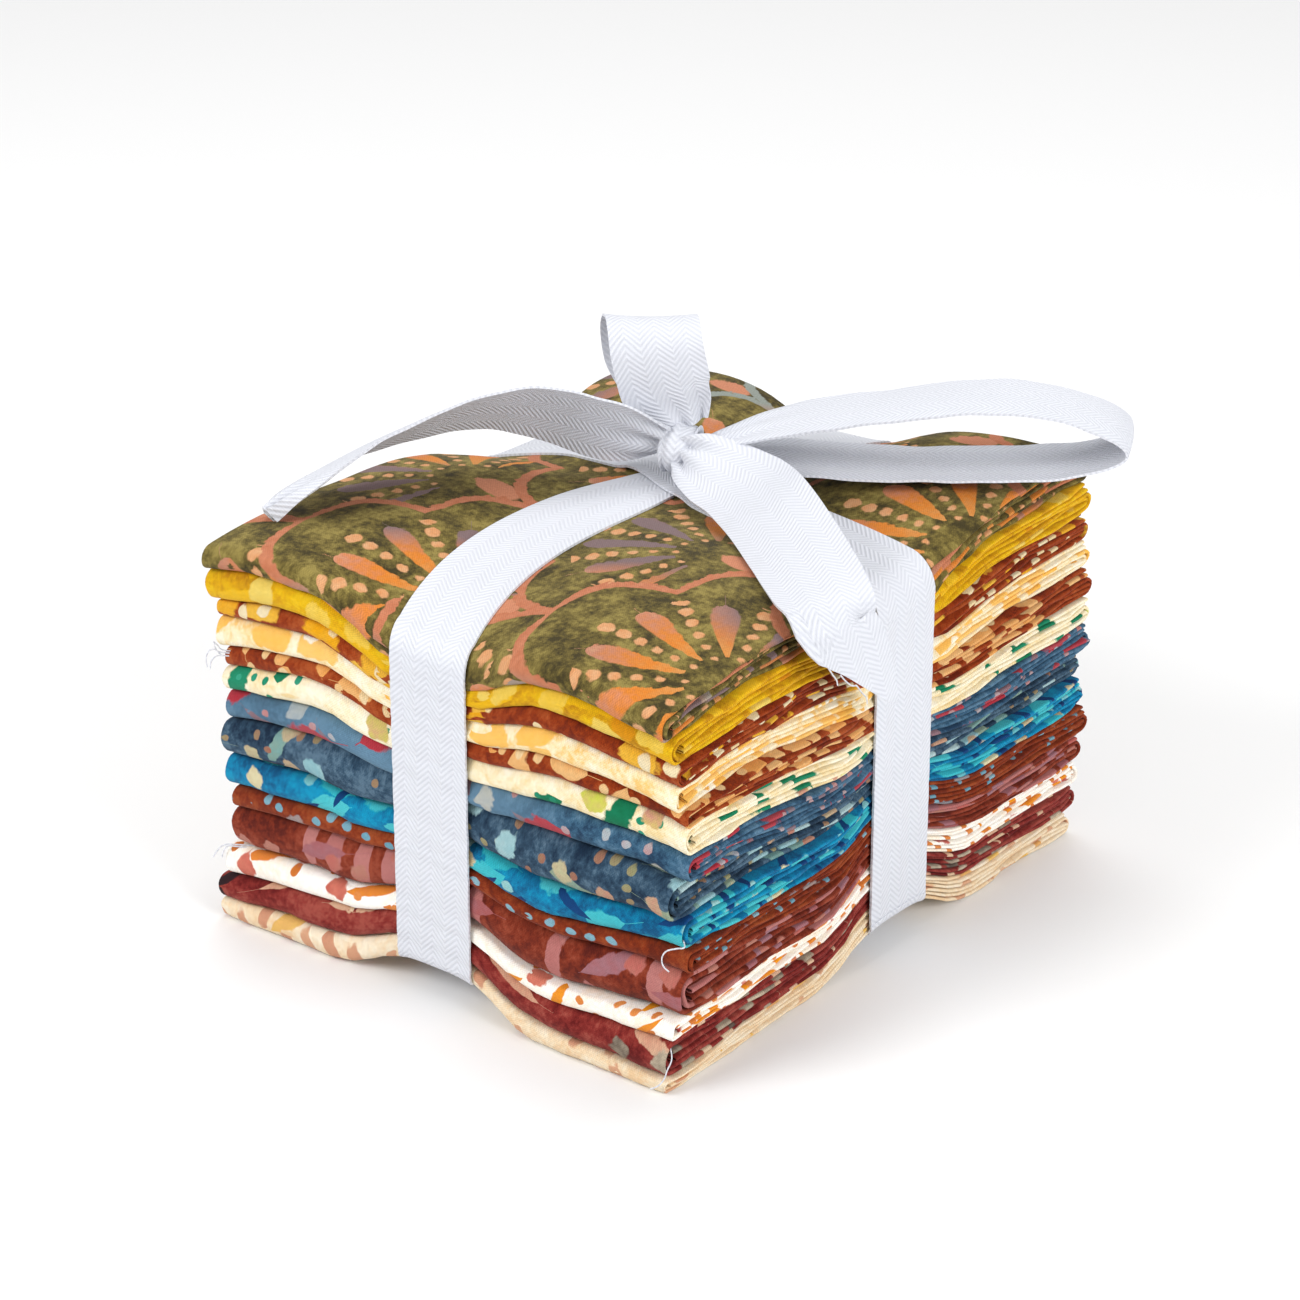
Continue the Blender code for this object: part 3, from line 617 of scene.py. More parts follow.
@dataclass(frozen=True)
class Cloth:
    """One fat quarter, folded in four across and in three along, as one sheet.

    Args:
        index: Its place in the stack, bottom first.
        row: Its row of sizes.
        stack: The space that it lies in.
        thick: Its thickness, in millimetres.
        ragged: How unevenly its right edges lie.
        wavy: How unevenly its folds lie.
        flatten: How far the inner fold is pressed flat.
        fill: How far the inner panel fills the outer fold.
        crease: Depth of the small creases at the front.
        left_out: How far the left folds stand out past the layers.
        flat: Its width and length before it was folded.
    """

    index: int
    row: ClothRow
    stack: Stack
    thick: float = 0.24
    ragged: float = 1.8
    wavy: float = 0.7
    flatten: float = 0.78
    fill: float = 0.16
    crease: float = 0.42
    left_out: float = 1.6
    flat: tuple[float, float] = (500.0, 550.0)

    def run_across(self) -> tuple[Array, Array, Array, Array, Array]:
        """Stations along the length of the cloth, which goes back and forth between the ends.

        Returns:
            The share of the way to the right end, the layer's offset in the panel, the bulge at a
            fold, which pair of layers it belongs to, and the distance along the cloth.
        """
        inner = 12
        outer = int(28 * self.row.fine)
        ease = 1.5
        offsets = (-1.0 / 8.0, -1.0 / 24.0, 1.0 / 24.0, 1.0 / 8.0)
        parts = []

        def lay(count: int, layer: int, way: int, pair: float) -> None:
            """Adds a flat run from end to end, closer together at the right."""
            share = np.linspace(0.0, 1.0, count + 1)
            place = 1.0 - (1.0 - share) ** ease if way > 0 else 1.0 - share**ease
            offset = np.full_like(place, offsets[layer])
            parts.append((place, offset, np.zeros_like(place), np.full_like(place, pair)))

        def turn(count: int, first: int, last: int, end: float, pair: float) -> None:
            """Adds the fold between two layers."""
            angle = np.linspace(0.0, math.pi, count + 1)[1:-1]
            middle = (offsets[first] + offsets[last]) / 2.0
            half = (offsets[first] - offsets[last]) / 2.0
            side = 1.0 if end > 0.5 else -1.0
            bulge = side * abs(half) * np.sin(angle)
            offset = middle + half * np.cos(angle)
            parts.append((np.full_like(angle, end), offset, bulge, np.full_like(angle, pair)))

        lay(inner, 1, 1, 0.0)
        turn(4, 1, 0, 1.0, 0.0)
        lay(inner, 0, -1, 0.0)
        turn(8, 0, 3, 0.0, 0.5)
        lay(outer, 3, 1, 1.0)
        turn(4, 3, 2, 1.0, 1.0)
        lay(inner, 2, -1, 1.0)
        place, offset, bulge, pair = (np.concatenate(part) for part in zip(*parts))
        step = np.hypot(np.diff(place) * 2.0 * self.stack.half_w, np.diff(offset) * 7.0)
        run = np.concatenate([[0.0], np.cumsum(step)])
        return place, offset, bulge, pair, run * self.flat[1] / run[-1]

    def run_along(self) -> tuple[Array, Array, Array, Array, Array, Array]:
        """Stations along the width of the cloth, folded in three.

        Returns:
            The share of the way to the back, the middle and radius of the fold, its cosine and
            sine, and the distance along the cloth.
        """
        panel = int(34 * self.row.fine)
        parts = []

        def lay(first: float, last: float, middle: float, radius: float, way: float) -> None:
            """Adds a flat panel from front to back or the other way."""
            place = np.linspace(first, last, panel + 1)
            whole = np.ones_like(place)
            parts.append((place, middle * whole, radius * whole, way * whole, 0.0 * whole))

        def turn(count: int, place: float, middle: float, radius: float, way: float) -> None:
            """Adds the fold between two panels."""
            angle = np.linspace(0.0, math.pi, count + 1)[1:-1]
            whole = np.ones_like(angle)
            rise = way * np.cos(angle)
            out = way * np.sin(angle)
            parts.append((place * whole, middle * whole, radius * whole, rise, out))

        lay(0.012, 1.0, 1.0 / 3.0, 1.0 / 6.0, 1.0)
        turn(6, 1.0, 1.0 / 3.0, 1.0 / 6.0, 1.0)
        lay(1.0, 0.0, 1.0 / 2.0, 1.0 / 3.0, -1.0)
        turn(10, 0.0, 1.0 / 2.0, 1.0 / 3.0, -1.0)
        lay(0.0, 1.0, 1.0 / 2.0, 1.0 / 3.0, 1.0)
        place, middle, radius, rise, out = (np.concatenate(part) for part in zip(*parts))
        arc = math.pi / 6.0 * sum(self.row.folds) / len(self.row.folds)
        step = np.hypot(np.diff(place) * 2.0 * self.stack.half_d, np.diff(rise) * arc)
        run = np.concatenate([[0.0], np.cumsum(step)])
        return place, middle, radius, rise, out, run * self.flat[0] / run[-1]

    def ends(self, y: Array) -> tuple[Array, Array]:
        """X of the left fold and of the right edges at a given y.

        Args:
            y: Y of each place.

        Returns:
            The left and the right end's x.
        """
        stack = self.stack
        wave = self.wavy * ripple(y, 2.0 * self.index, 90.0)
        pull = stack.near(y - stack.tape_y(np.full_like(y, -stack.half_w)))
        set_in = self.row.left_in - self.left_out + 0.6 * wave
        left = set_in * (1.0 - pull) + stack.cinch * pull - stack.half_w
        pull = stack.near(y - stack.tape_y(np.full_like(y, stack.half_w)))
        right = stack.half_w + (self.row.right_out - 1.6 + wave) * (1.0 - pull) - stack.cinch * pull
        return left, right

    def sides(self, x: Array) -> tuple[Array, Array]:
        """Y of the front fold and of the back at a given x.

        Args:
            x: X of each place.

        Returns:
            The front's and the back's y.
        """
        stack = self.stack
        near_corner = smoothstep(22.0, 70.0, x) ** 1.4
        far_corner = smoothstep(40.0, 70.0, -x) ** 1.4
        set_back = self.row.corner_back * near_corner + 0.7 * self.row.left_in * far_corner
        wave = self.wavy * ripple(x, 3.0 * self.index + 1.0, 74.0)
        pull = stack.near(x - stack.tape_x(np.full_like(x, -stack.half_d)))
        front = -stack.half_d + (set_back + wave) * (1.0 - pull) + stack.cinch * pull
        pull = stack.near(x - stack.tape_x(np.full_like(x, stack.half_d)))
        back = stack.half_d + 0.9 * ripple(x, 5.0 * self.index, 80.0) * (1.0 - pull)
        return front, back - stack.cinch * pull

    def points(self) -> tuple[Array, Array]:
        """Lays the folded sheet in its place.

        Returns:
            Its points in millimetres and their flat coordinates, as two grids.
        """
        place, offset, bulge, pair, run_u = self.run_across()
        way, middle, radius, rise, out, run_v = self.run_along()
        shape = (len(way), len(place))

        def across(row: Array) -> Array:
            """The row at every station along the width."""
            return np.broadcast_to(row[None, :], shape)

        def along(column: Array) -> Array:
            """The column at every station along the length."""
            return np.broadcast_to(column[:, None], shape)

        stack = self.stack
        y_plain = stack.half_d * (2.0 * along(way) - 1.0)
        x_plain = stack.half_w * (2.0 * across(place) - 1.0)
        left, right = self.ends(y_plain)
        front, back = self.sides(x_plain)
        wave = ripple(along(run_v) + 40.0 * across(pair), 7.0 * self.index + 3.0, 96.0)
        fine = ripple(along(run_v), 11.0 * self.index + 5.0 * across(pair), 33.0)
        right = right - self.ragged * (0.5 + 0.4 * wave + 0.25 * fine)
        x = left + across(place) * (right - left)
        y = front + along(way) * (back - front)
        low, high = stack.faces(self.index, x, y)
        tall = high - low
        fold = along(radius) + across(offset)
        most = np.where(along(way) < 0.5, 11.0 / 24.0 * self.flatten, 7.0 / 24.0) * tall
        y = y + np.where(along(way) < 0.5, 1.0, -1.0) * most * (2.0 * along(way) - 1.0) ** 4
        squeeze = np.where(along(way) < 0.5, self.flatten, 1.0)
        y = y + fold * tall * along(out) * squeeze
        inner = (along(radius) < 0.2) & (along(way) < 0.5)
        y = y - np.where(inner, self.fill * tall * (1.0 - along(way)) ** 12, 0.0)
        front_side = (1.0 - along(way)) ** 10
        seed = 5.0 * self.index
        y = y + self.crease * front_side * ripple(x + 5.0 * along(rise), seed, 27.0)
        x = x + across(bulge) * tall + tall / 8.0 * (1.0 - across(place)) ** 4
        low, high = stack.faces(self.index, x, y)
        share = along(middle) + fold * along(rise)
        sag = 0.045 * front_side * ripple(x, seed + 2.0, 31.0) * np.sin(np.pi * share)
        z = low + (high - low) * (share + sag)
        return np.stack([x, y, z], axis=-1), np.stack([across(run_u), along(run_v)], axis=-1)


def grid_sheet(name: str, points: Array, flat: Array, thick: float) -> bpy.types.Object:
    """A sheet made from a grid primitive.

    Args:
        name: The piece's name.
        points: Rows and columns of places, in millimetres from the bundle's own centre.
        flat: The same grid of flat coordinates, in millimetres, kept as its UV map.
        thick: Thickness in millimetres.

    Returns:
        The finished object, at the origin.
    """
    rows, columns = points.shape[:2]
    bpy.ops.object.select_all(action="DESELECT")
    bpy.ops.mesh.primitive_grid_add(
        x_subdivisions=columns - 1, y_subdivisions=rows - 1, size=1.0, calc_uvs=True
    )
    piece = bpy.context.object
    piece.name = name
    piece.data.name = name
    places = (points.reshape(-1, 3) - np.array(ORIGIN)) * MM
    piece.data.vertices.foreach_set("co", places.astype(np.float32).ravel())
    corner = np.empty(len(piece.data.loops), np.int32)
    piece.data.loops.foreach_get("vertex_index", corner)
    spread = (flat.reshape(-1, 2) * MM)[corner]
    piece.data.uv_layers[0].data.foreach_set("uv", spread.astype(np.float32).ravel())
    piece.data.update()
    wall = piece.modifiers.new("thickness", "SOLIDIFY")
    wall.thickness = thick * MM
    wall.offset = 0.0
    wall.use_even_offset = False
    bpy.ops.object.modifier_apply(modifier=wall.name)
    bpy.ops.object.shade_smooth_by_angle(angle=math.radians(70.0))
    return piece


@dataclass
class Signal:
    """A number that varies over a surface. Python operators on it add Math nodes."""

    tree: bpy.types.NodeTree
    socket: bpy.types.NodeSocket

    def maths(self, operation: str, *others: Number, clamp: bool = False) -> Signal:
        """A Math node on this value and the others.

        Args:
            operation: The node's operation.
            others: The values after this one.
            clamp: Whether it is kept from 0 to 1.

        Returns:
            The node's value.
        """
        node = self.tree.nodes.new("ShaderNodeMath")
        node.operation = operation
        node.use_clamp = clamp
        for slot, value in zip(node.inputs, (self, *others)):
            if isinstance(value, Signal):
                self.tree.links.new(value.socket, slot)
            else:
                slot.default_value = value
        return Signal(self.tree, node.outputs[0])

    def flipped(self, operation: str, other: float) -> Signal:
        """A Math node with a plain number first and this value second.

        Args:
            operation: The node's operation.
            other: The number.

        Returns:
            The node's value.
        """
        made = self.maths(operation, 0.0)
        node = made.socket.node
        for link in list(node.inputs[0].links):
            self.tree.links.remove(link)
        node.inputs[0].default_value = other
        self.tree.links.new(self.socket, node.inputs[1])
        return made

    def __add__(self, other: Number) -> Signal:
        """The sum."""
        return self.maths("ADD", other)

    __radd__ = __add__

    def __mul__(self, other: Number) -> Signal:
        """The product."""
        return self.maths("MULTIPLY", other)

    __rmul__ = __mul__

    def __sub__(self, other: Number) -> Signal:
        """The difference."""
        return self.maths("SUBTRACT", other)

    def __rsub__(self, other: float) -> Signal:
        """The difference from a plain number."""
        return self.flipped("SUBTRACT", other)

    def __truediv__(self, other: Number) -> Signal:
        """The quotient."""
        return self.maths("DIVIDE", other)

    def __rtruediv__(self, other: float) -> Signal:
        """A plain number divided by this."""
        return self.flipped("DIVIDE", other)

    def __pow__(self, other: Number) -> Signal:
        """This value raised to a power."""
        return self.maths("POWER", other)

    def __abs__(self) -> Signal:
        """The size without its sign."""
        return self.maths("ABSOLUTE")

    def low(self, other: Number) -> Signal:
        """The lesser of the two."""
        return self.maths("MINIMUM", other)

    def high(self, other: Number) -> Signal:
        """The greater of the two."""
        return self.maths("MAXIMUM", other)

    def under(self, other: Number) -> Signal:
        """1 where this is less than the other."""
        return self.maths("LESS_THAN", other)

    def sine(self) -> Signal:
        """The sine of this angle."""
        return self.maths("SINE")

    def cosine(self) -> Signal:
        """The cosine of this angle."""
        return self.maths("COSINE")

    def wrapped(self, size: float) -> Signal:
        """This value brought to within half a size of 0, over and over."""
        return self.maths("WRAP", size / 2.0, -size / 2.0)

    def fade(self, full: float, none: float) -> Signal:
        """1 up to full and 0 from none on, with a straight slope between."""
        return ((self - none) * (1.0 / (full - none))).maths("ADD", 0.0, clamp=True)


Number = Signal | float


class Dye:
    """Builds one material's nodes."""

    def __init__(self, name: str, rough: float, sheen: float = 0.0) -> None:
        """Starts a material whose plain numbers are set on the shader itself.

        Args:
            name: The material's name.
            rough: Its roughness.
            sheen: How much soft light its fibres catch.
        """
        self.material = bpy.data.materials.new(name)
        self.material.use_nodes = True
        self.tree = self.material.node_tree
        self.shader = self.tree.nodes["Principled BSDF"]
        self.shader.inputs["Roughness"].default_value = rough
        self.shader.inputs["Sheen Weight"].default_value = sheen
        self.shader.inputs["Sheen Roughness"].default_value = 0.5
        self.shader.inputs["Specular IOR Level"].default_value = 0.2
        place = self.node("ShaderNodeUVMap", {"uv_map": "UVMap"}, {})
        self.flat = self.vector("SCALE", place.outputs["UV"], scale=1000.0)

    def node(self, kind: str, settings: dict, values: dict) -> bpy.types.Node:
        """Any node, with its settings first and then its sockets' values or links.

        Args:
            kind: The node's type.
            settings: Its properties.
            values: A value or a link for each socket.

        Returns:
            The node.
        """
        made = self.tree.nodes.new(kind)
        for key, value in settings.items():
            if key == "stops":
                self.stops(made.color_ramp, value)
            else:
                setattr(made, key, value)
        for key, value in values.items():
            socket = made.inputs[key]
            if isinstance(value, Signal):
                self.tree.links.new(value.socket, socket)
            elif isinstance(value, bpy.types.NodeSocket):
                self.tree.links.new(value, socket)
            elif isinstance(value, tuple) and socket.type == "RGBA":
                socket.default_value = (*value, 1.0)
            else:
                socket.default_value = value
        return made

    def stops(self, ramp: bpy.types.ColorRamp, rows: Sequence[tuple[float, Colour]]) -> None:
        """Sets a colour ramp's stops.

        Args:
            ramp: The ramp.
            rows: The place and the colour of each stop.
        """
        while len(ramp.elements) < len(rows):
            ramp.elements.new(1.0)
        for element, (place, colour) in zip(ramp.elements, rows):
            element.position = place
            element.color = (*colour, 1.0)

    def vector(self, operation: str, *values: object, scale: float | None = None) -> bpy.types.NodeSocket:
        """A Vector Math node's vector.

        Args:
            operation: The node's operation.
            values: The vectors that it takes.
            scale: The number that it takes, if any.

        Returns:
            Its vector.
        """
        made = self.node("ShaderNodeVectorMath", {"operation": operation}, dict(enumerate(values)))
        if scale is not None:
            made.inputs["Scale"].default_value = scale
        return made.outputs[0]

    def parts(self, vector: bpy.types.NodeSocket) -> tuple[Signal, Signal, Signal]:
        """The three numbers of a vector.

        Args:
            vector: The vector.

        Returns:
            Its x, y and z.
        """
        split = self.node("ShaderNodeSeparateXYZ", {}, {0: vector})
        return tuple(Signal(self.tree, out) for out in split.outputs)

    def noise(self, scale: float, detail: float = 2.0, shift: float = 0.0, rough: float = 0.5) -> Signal:
        """Smooth noise over the flat cloth. The scale is in turns for each millimetre.

        Args:
            scale: Turns for each millimetre.
            detail: How many finer layers it has.
            shift: A number that tells one noise from another.
            rough: How strong the finer layers are.

        Returns:
            The noise, from 0 to 1.
        """
        place = self.vector("ADD", self.flat, (shift * 37.0, shift * 91.0, 0.0)) if shift else self.flat
        made = self.node(
            "ShaderNodeTexNoise",
            {"noise_dimensions": "2D"},
            {"Vector": place, "Scale": scale, "Detail": detail, "Roughness": rough},
        )
        return Signal(self.tree, made.outputs[0])

    def mix(self, factor: Number, first: object, second: object) -> bpy.types.NodeSocket:
        """A colour between two colours.

        Args:
            factor: Share of the second.
            first: The first colour.
            second: The second colour.

        Returns:
            The colour.
        """
        made = self.node("ShaderNodeMix", {"data_type": "RGBA"}, {0: factor, 6: first, 7: second})
        return made.outputs[2]

    def ramp(self, factor: Signal, rows: Sequence[tuple[float, Colour]]) -> bpy.types.NodeSocket:
        """A colour read off a ramp.

        Args:
            factor: Where it is read, from 0 to 1.
            rows: The place and the colour of each stop.

        Returns:
            The colour.
        """
        return self.node("ShaderNodeValToRGB", {"stops": rows}, {0: factor}).outputs[0]

    def finish(self, colour: bpy.types.NodeSocket, height: Signal, depth: float) -> bpy.types.Material:
        """Joins the colour and the bump to the shader.

        Args:
            colour: The base colour.
            height: The bump's height, from 0 to 1.
            depth: What a height of 1 stands for, in millimetres.

        Returns:
            The finished material.
        """
        self.tree.links.new(colour, self.shader.inputs["Base Color"])
        bump = self.node("ShaderNodeBump", {}, {"Strength": 1.0, "Distance": depth * MM, "Height": height})
        self.tree.links.new(bump.outputs[0], self.shader.inputs["Normal"])
        return self.material


@dataclass(frozen=True)
class Cotton:
    """A printed quilting cotton: hand-dyed mottling, the print's motifs and a plain weave, whose pattern also
    paints shade into the colour of its hollows.

    Args:
        name: The cloth's name.
        look: Its dyes and mottling.
        motifs: Its motifs, the last one on top.
        thread: Two threads' width, in millimetres.
        dull: Its roughness.
        soft: How much light its fibres catch.
        relief: Depth of the weave.
        pale_folds: Distance between the left folds, how far a pale dye reaches from one, and its slope.
    """

    name: str
    look: Print
    motifs: tuple[Motif, ...]
    thread: float = 0.62
    dull: float = 0.86
    soft: float = 0.04
    relief: float = 0.05
    pale_folds: tuple[float, float, float] = (275.0, 62.0, 0.013)

    def motif(self, dye: Dye, ground: Socket, item: Motif, edge: Signal) -> Socket:
        """The ground with one layer of motifs over it.

        Args:
            dye: The material that is being built.
            ground: The colour so far.
            item: The motif.
            edge: Noise that makes its outline uneven.

        Returns:
            The colour with the motifs on it.
        """
        wide, tall = item.cell
        start = (item.seed * 3.7, item.seed * 5.3, 0.0)
        place = dye.vector("MULTIPLY_ADD", dye.flat, (1.0 / wide, 1.0 / tall, 0.0), start)
        cell = dye.node(
            "ShaderNodeTexVoronoi",
            {"voronoi_dimensions": "2D"},
            {"Vector": place, "Scale": 1.0, "Randomness": 0.72},
        )
        local = dye.vector("SUBTRACT", place, cell.outputs["Position"])
        local = dye.vector("MULTIPLY", local, (wide, tall, 0.0))
        x, y, _ = dye.parts(local)
        chance, second, third = dye.parts(cell.outputs["Color"])
        angle = (second - 0.5) * math.radians(item.swing) * 2.0 + math.radians(item.turn)
        cosine = angle.cosine()
        sine = angle.sine()
        along = (x * cosine + y * sine) * (1.0 / item.size[0])
        across = (y * cosine - x * sine) * (1.0 / item.size[1])
        wobble = (edge - 0.5) * 0.7
        if item.kind is Shape.DOT:
            reach = (along * along + across * across) ** 0.5
        elif item.kind is Shape.LEAF:
            reach = abs(across) / (1.0 - along * along).high(0.02)
        elif item.kind is Shape.STROKE:
            reach = (abs(along) ** 4.0 + abs(across) ** 2.0) ** 0.5
        else:
            reach = (abs(along) ** 4.0 + abs(across) ** 4.0) ** 0.25
        mask = (reach + wobble).fade(0.90, 1.08) * chance.under(item.share)
        tone = dye.mix((third * 0.7 + edge * 0.5), item.colours[0], item.colours[1])
        return dye.mix(mask, ground, tone)

    def fans(self, dye: Dye, ground: Socket, edge: Signal) -> Socket:
        """Plain scallops with a fan of drops and rows of dots in each.

        Args:
            dye: The material that is being built.
            ground: The colour so far.
            edge: Noise that makes its outlines uneven.

        Returns:
            The colour with the fans on it.
        """
        wide = 92.0
        tall = 38.0
        v, u, _ = dye.parts(dye.flat)
        along = u + (edge - 0.5) * 1.4 + 13.0
        across = 22.0 - v + (edge - 0.5) * 1.4
        even_x = along.wrapped(wide)
        even_y = across.wrapped(2.0 * tall)
        odd_x = (along + wide / 2.0).wrapped(wide)
        odd_y = (across + tall).wrapped(2.0 * tall)
        half_x = wide / 2.0
        slope = 1.0 / math.hypot(1.0 / half_x, 1.0 / tall)
        off = (abs(even_x) * (1.0 / half_x) + abs(even_y) * (1.0 / tall) - 1.0) * slope
        place = (abs(even_x) * (1.0 / half_x) - abs(even_y) * (1.0 / tall) + 1.0) * 0.5
        lobe = abs((place * (2.0 * math.pi)).sine()) * 7.0
        rim = off + lobe * (even_y.under(0.0) * 2.0 - 1.0)
        inside = rim.under(0.0)
        x = even_x * inside + odd_x * (1.0 - inside)
        y = even_y * inside + odd_y * (1.0 - inside)
        outline = (abs(rim) + (edge - 0.5) * 1.2).fade(1.3, 1.7)
        base = y + 14.0
        reach = (x * x + base * base) ** 0.5
        angle = x.maths("ARCTAN2", base)
        spread = math.radians(34.0)
        lean = (angle + spread / 2.0).wrapped(spread)
        side = abs(angle) * 3.0
        grow = ((reach - 9.0) / (26.0 - side)).high(0.0)
        slim = grow.high(0.001) ** 0.85 * (1.0 - grow ** 7.0).high(0.0) ** 0.5
        drop = abs(reach * lean.sine()) / (slim * 4.4 + 0.05)
        ring = abs(angle).under(math.radians(85.0)) * reach.under(37.0) * (0.06 - grow).under(0.0)
        petals = (drop + (edge - 0.5) * 0.22).fade(0.9, 1.06) * ring
        half = angle.wrapped(spread)
        bead = reach.wrapped(5.0)
        gap = (bead * bead + (reach * half.sine()) ** 2.0) ** 0.5
        size = reach * 0.05 + 0.3
        beads = (gap - size).fade(-0.2, 0.25) * reach.under(37.0 - side) * (9.0 - reach).under(0.0)
        beads = beads * abs(angle).under(math.radians(84.0))
        stem = (x * (1.0 / 3.6)) ** 2.0 + ((base + 8.0) * (1.0 / 6.6)) ** 2.0
        stem = (stem + (edge - 0.5) * 0.6).fade(0.85, 1.1)
        drop_stops = (
            (0.05, (0.74, 0.34, 0.12)),
            (0.4, (0.80, 0.28, 0.07)),
            (0.75, SALMON[1]),
            (1.0, (0.78, 0.42, 0.24)),
        )
        tone = dye.ramp(grow * 0.8 + (edge - 0.5) * 0.5, drop_stops)
        cool = dye.noise(0.0125, 1.0, 4.0)
        tone = dye.mix(((cool - 0.52) * 8.0).maths("ADD", 0.0, clamp=True), tone, (0.25, 0.17, 0.17))
        warm = dye.noise(0.011, 1.0, 6.0)
        lines = dye.mix(edge, SALMON[0], SALMON[1])
        lines = dye.mix(((warm - 0.55) * 9.0).maths("ADD", 0.0, clamp=True), lines, (0.34, 0.37, 0.33))
        colour = dye.mix(petals, ground, tone)
        colour = dye.mix(beads, colour, dye.mix(edge, (0.74, 0.30, 0.12), (0.84, 0.52, 0.30)))
        colour = dye.mix(stem, colour, SALMON[1])
        return dye.mix(outline, colour, lines)

    def material(self) -> bpy.types.Material:
        """Builds the cloth's material.

        Returns:
            The material.
        """
        dye = Dye(self.name, self.dull, self.soft)
        look = self.look
        edge = dye.noise(0.45, 2.0, 2.0)
        speck = dye.noise(0.5, 5.0, 8.0, 0.75)
        cloud = dye.noise(1.0 / look.blotch, 5.0, 1.0, 0.68) * 0.6 + speck * 0.4
        colour = dye.ramp(cloud, ((0.39, look.dark), (0.50, look.mid), (0.61, look.light)))
        if look.tint:
            apart, reach, slope = self.pale_folds
            across, _, _ = dye.parts(dye.flat)
            pale = (dye.noise(0.008, 1.0, 9.0) - 0.5) * 3.0 + (reach - abs(across.wrapped(apart))) * slope
            colour = dye.mix(pale.maths("ADD", 0.0, clamp=True), colour, look.tint)
        for item in self.motifs:
            colour = self.motif(dye, colour, item, edge)
        if look.fans:
            colour = self.fans(dye, colour, edge)
        grain = dye.noise(1.6, 2.0, 3.0)
        turn = 2.0 * math.pi / self.thread
        x, y, _ = dye.parts(dye.flat)
        weave = ((x * turn).sine() * (y * turn).sine()) * 0.5 + 0.5
        # Painted shade: the weave pattern darkens the colour in its hollows, as in the bump; the grain is
        # random tone and look.value sets the overall lightness.
        value = grain * 0.26 + weave * 0.20 + (look.value - 0.02)
        weave_shaded_tone = dye.node("ShaderNodeHueSaturation", {}, {"Saturation": 1.06, "Value": value, "Color": colour})
        height = weave * 0.6 + grain * 0.4
        return dye.finish(weave_shaded_tone.outputs[0], height, self.relief)


@dataclass(frozen=True)
class Twill:
    """White herringbone twill tape.

    Args:
        name: The material's name.
        width: The tape's width, in millimetres.
        rib: Distance between its ribs.
        bands: How many stripes of ribs lie side by side.
        yarn: Distance between its cross threads.
        relief: Height of a rib.
        stops: Its colours from the hollows to the ribs, so painted shade darkens the hollows.
    """

    name: str = "tape_white"
    width: float = 22.6
    rib: float = 1.5
    bands: float = 3.0
    yarn: float = 0.5
    relief: float = 0.22
    stops: tuple[tuple[float, Colour], ...] = (
        (0.1, (0.57, 0.585, 0.635)),
        (0.6, (0.66, 0.675, 0.73)),
        (1.0, (0.69, 0.705, 0.755)),
    )

    def material(self) -> bpy.types.Material:
        """Builds the tape's material.

        Returns:
            The material.
        """
        dye = Dye(self.name, 0.82, 0.15)
        along, across, _ = dye.parts(dye.flat)
        band = self.width / self.bands
        slant = abs(across.wrapped(band)) + along
        rib = (slant * (2.0 * math.pi / self.rib)).sine() * 0.5 + 0.5
        fine = dye.noise(3.0, 2.0, 1.0)
        thread = (along * (2.0 * math.pi / self.yarn)).sine() * 0.5 + 0.5
        height = rib * 0.62 + fine * 0.25 + thread * 0.13
        cloud = dye.noise(0.03, 2.0, 5.0)
        # Painted shade: the colour is darker in the hollows between the ribs, and the cloud adds random tone.
        colour = dye.ramp(rib * 0.8 + cloud * 0.3, self.stops)
        return dye.finish(colour, height, self.relief)


def smooth_rows(rows: Array, steps: int) -> Array:
    """The rows with more in between, on a Catmull-Rom curve.

    Args:
        rows: The stations.
        steps: How many steps lie between two stations.

    Returns:
        The finer rows.
    """
    padded = np.concatenate([rows[:1], rows, rows[-1:]])
    found = []
    for i in range(len(rows) - 1):
        before, here, after, beyond = padded[i : i + 4]
        for step in range(steps):
            t = step / steps
            bend = (2 * before - 5 * here + 4 * after - beyond) * t * t
            bend = bend + (3 * here - before - 3 * after + beyond) * t**3
            found.append(here + 0.5 * ((after - before) * t + bend))
    found.append(rows[-1])
    return np.array(found)


def unit(rows: Array) -> Array:
    """Each row at length 1."""
    return rows / np.maximum(1e-9, np.linalg.norm(rows, axis=-1, keepdims=True))


def distance_along(places: Array) -> Array:
    """Distance of each place from the first one, along the line through them."""
    return np.concatenate([[0.0], np.cumsum(np.linalg.norm(np.diff(places, axis=0), axis=-1))])


def stand_in(piece: bpy.types.Object, surface: bpy.types.Material, node: str) -> None:
    """Gives a piece its material and lets it stand for its node.

    Args:
        piece: The piece.
        surface: Its material.
        node: The node.
    """
    piece.data.materials.append(surface)
    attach(piece, "root")
    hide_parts(node)


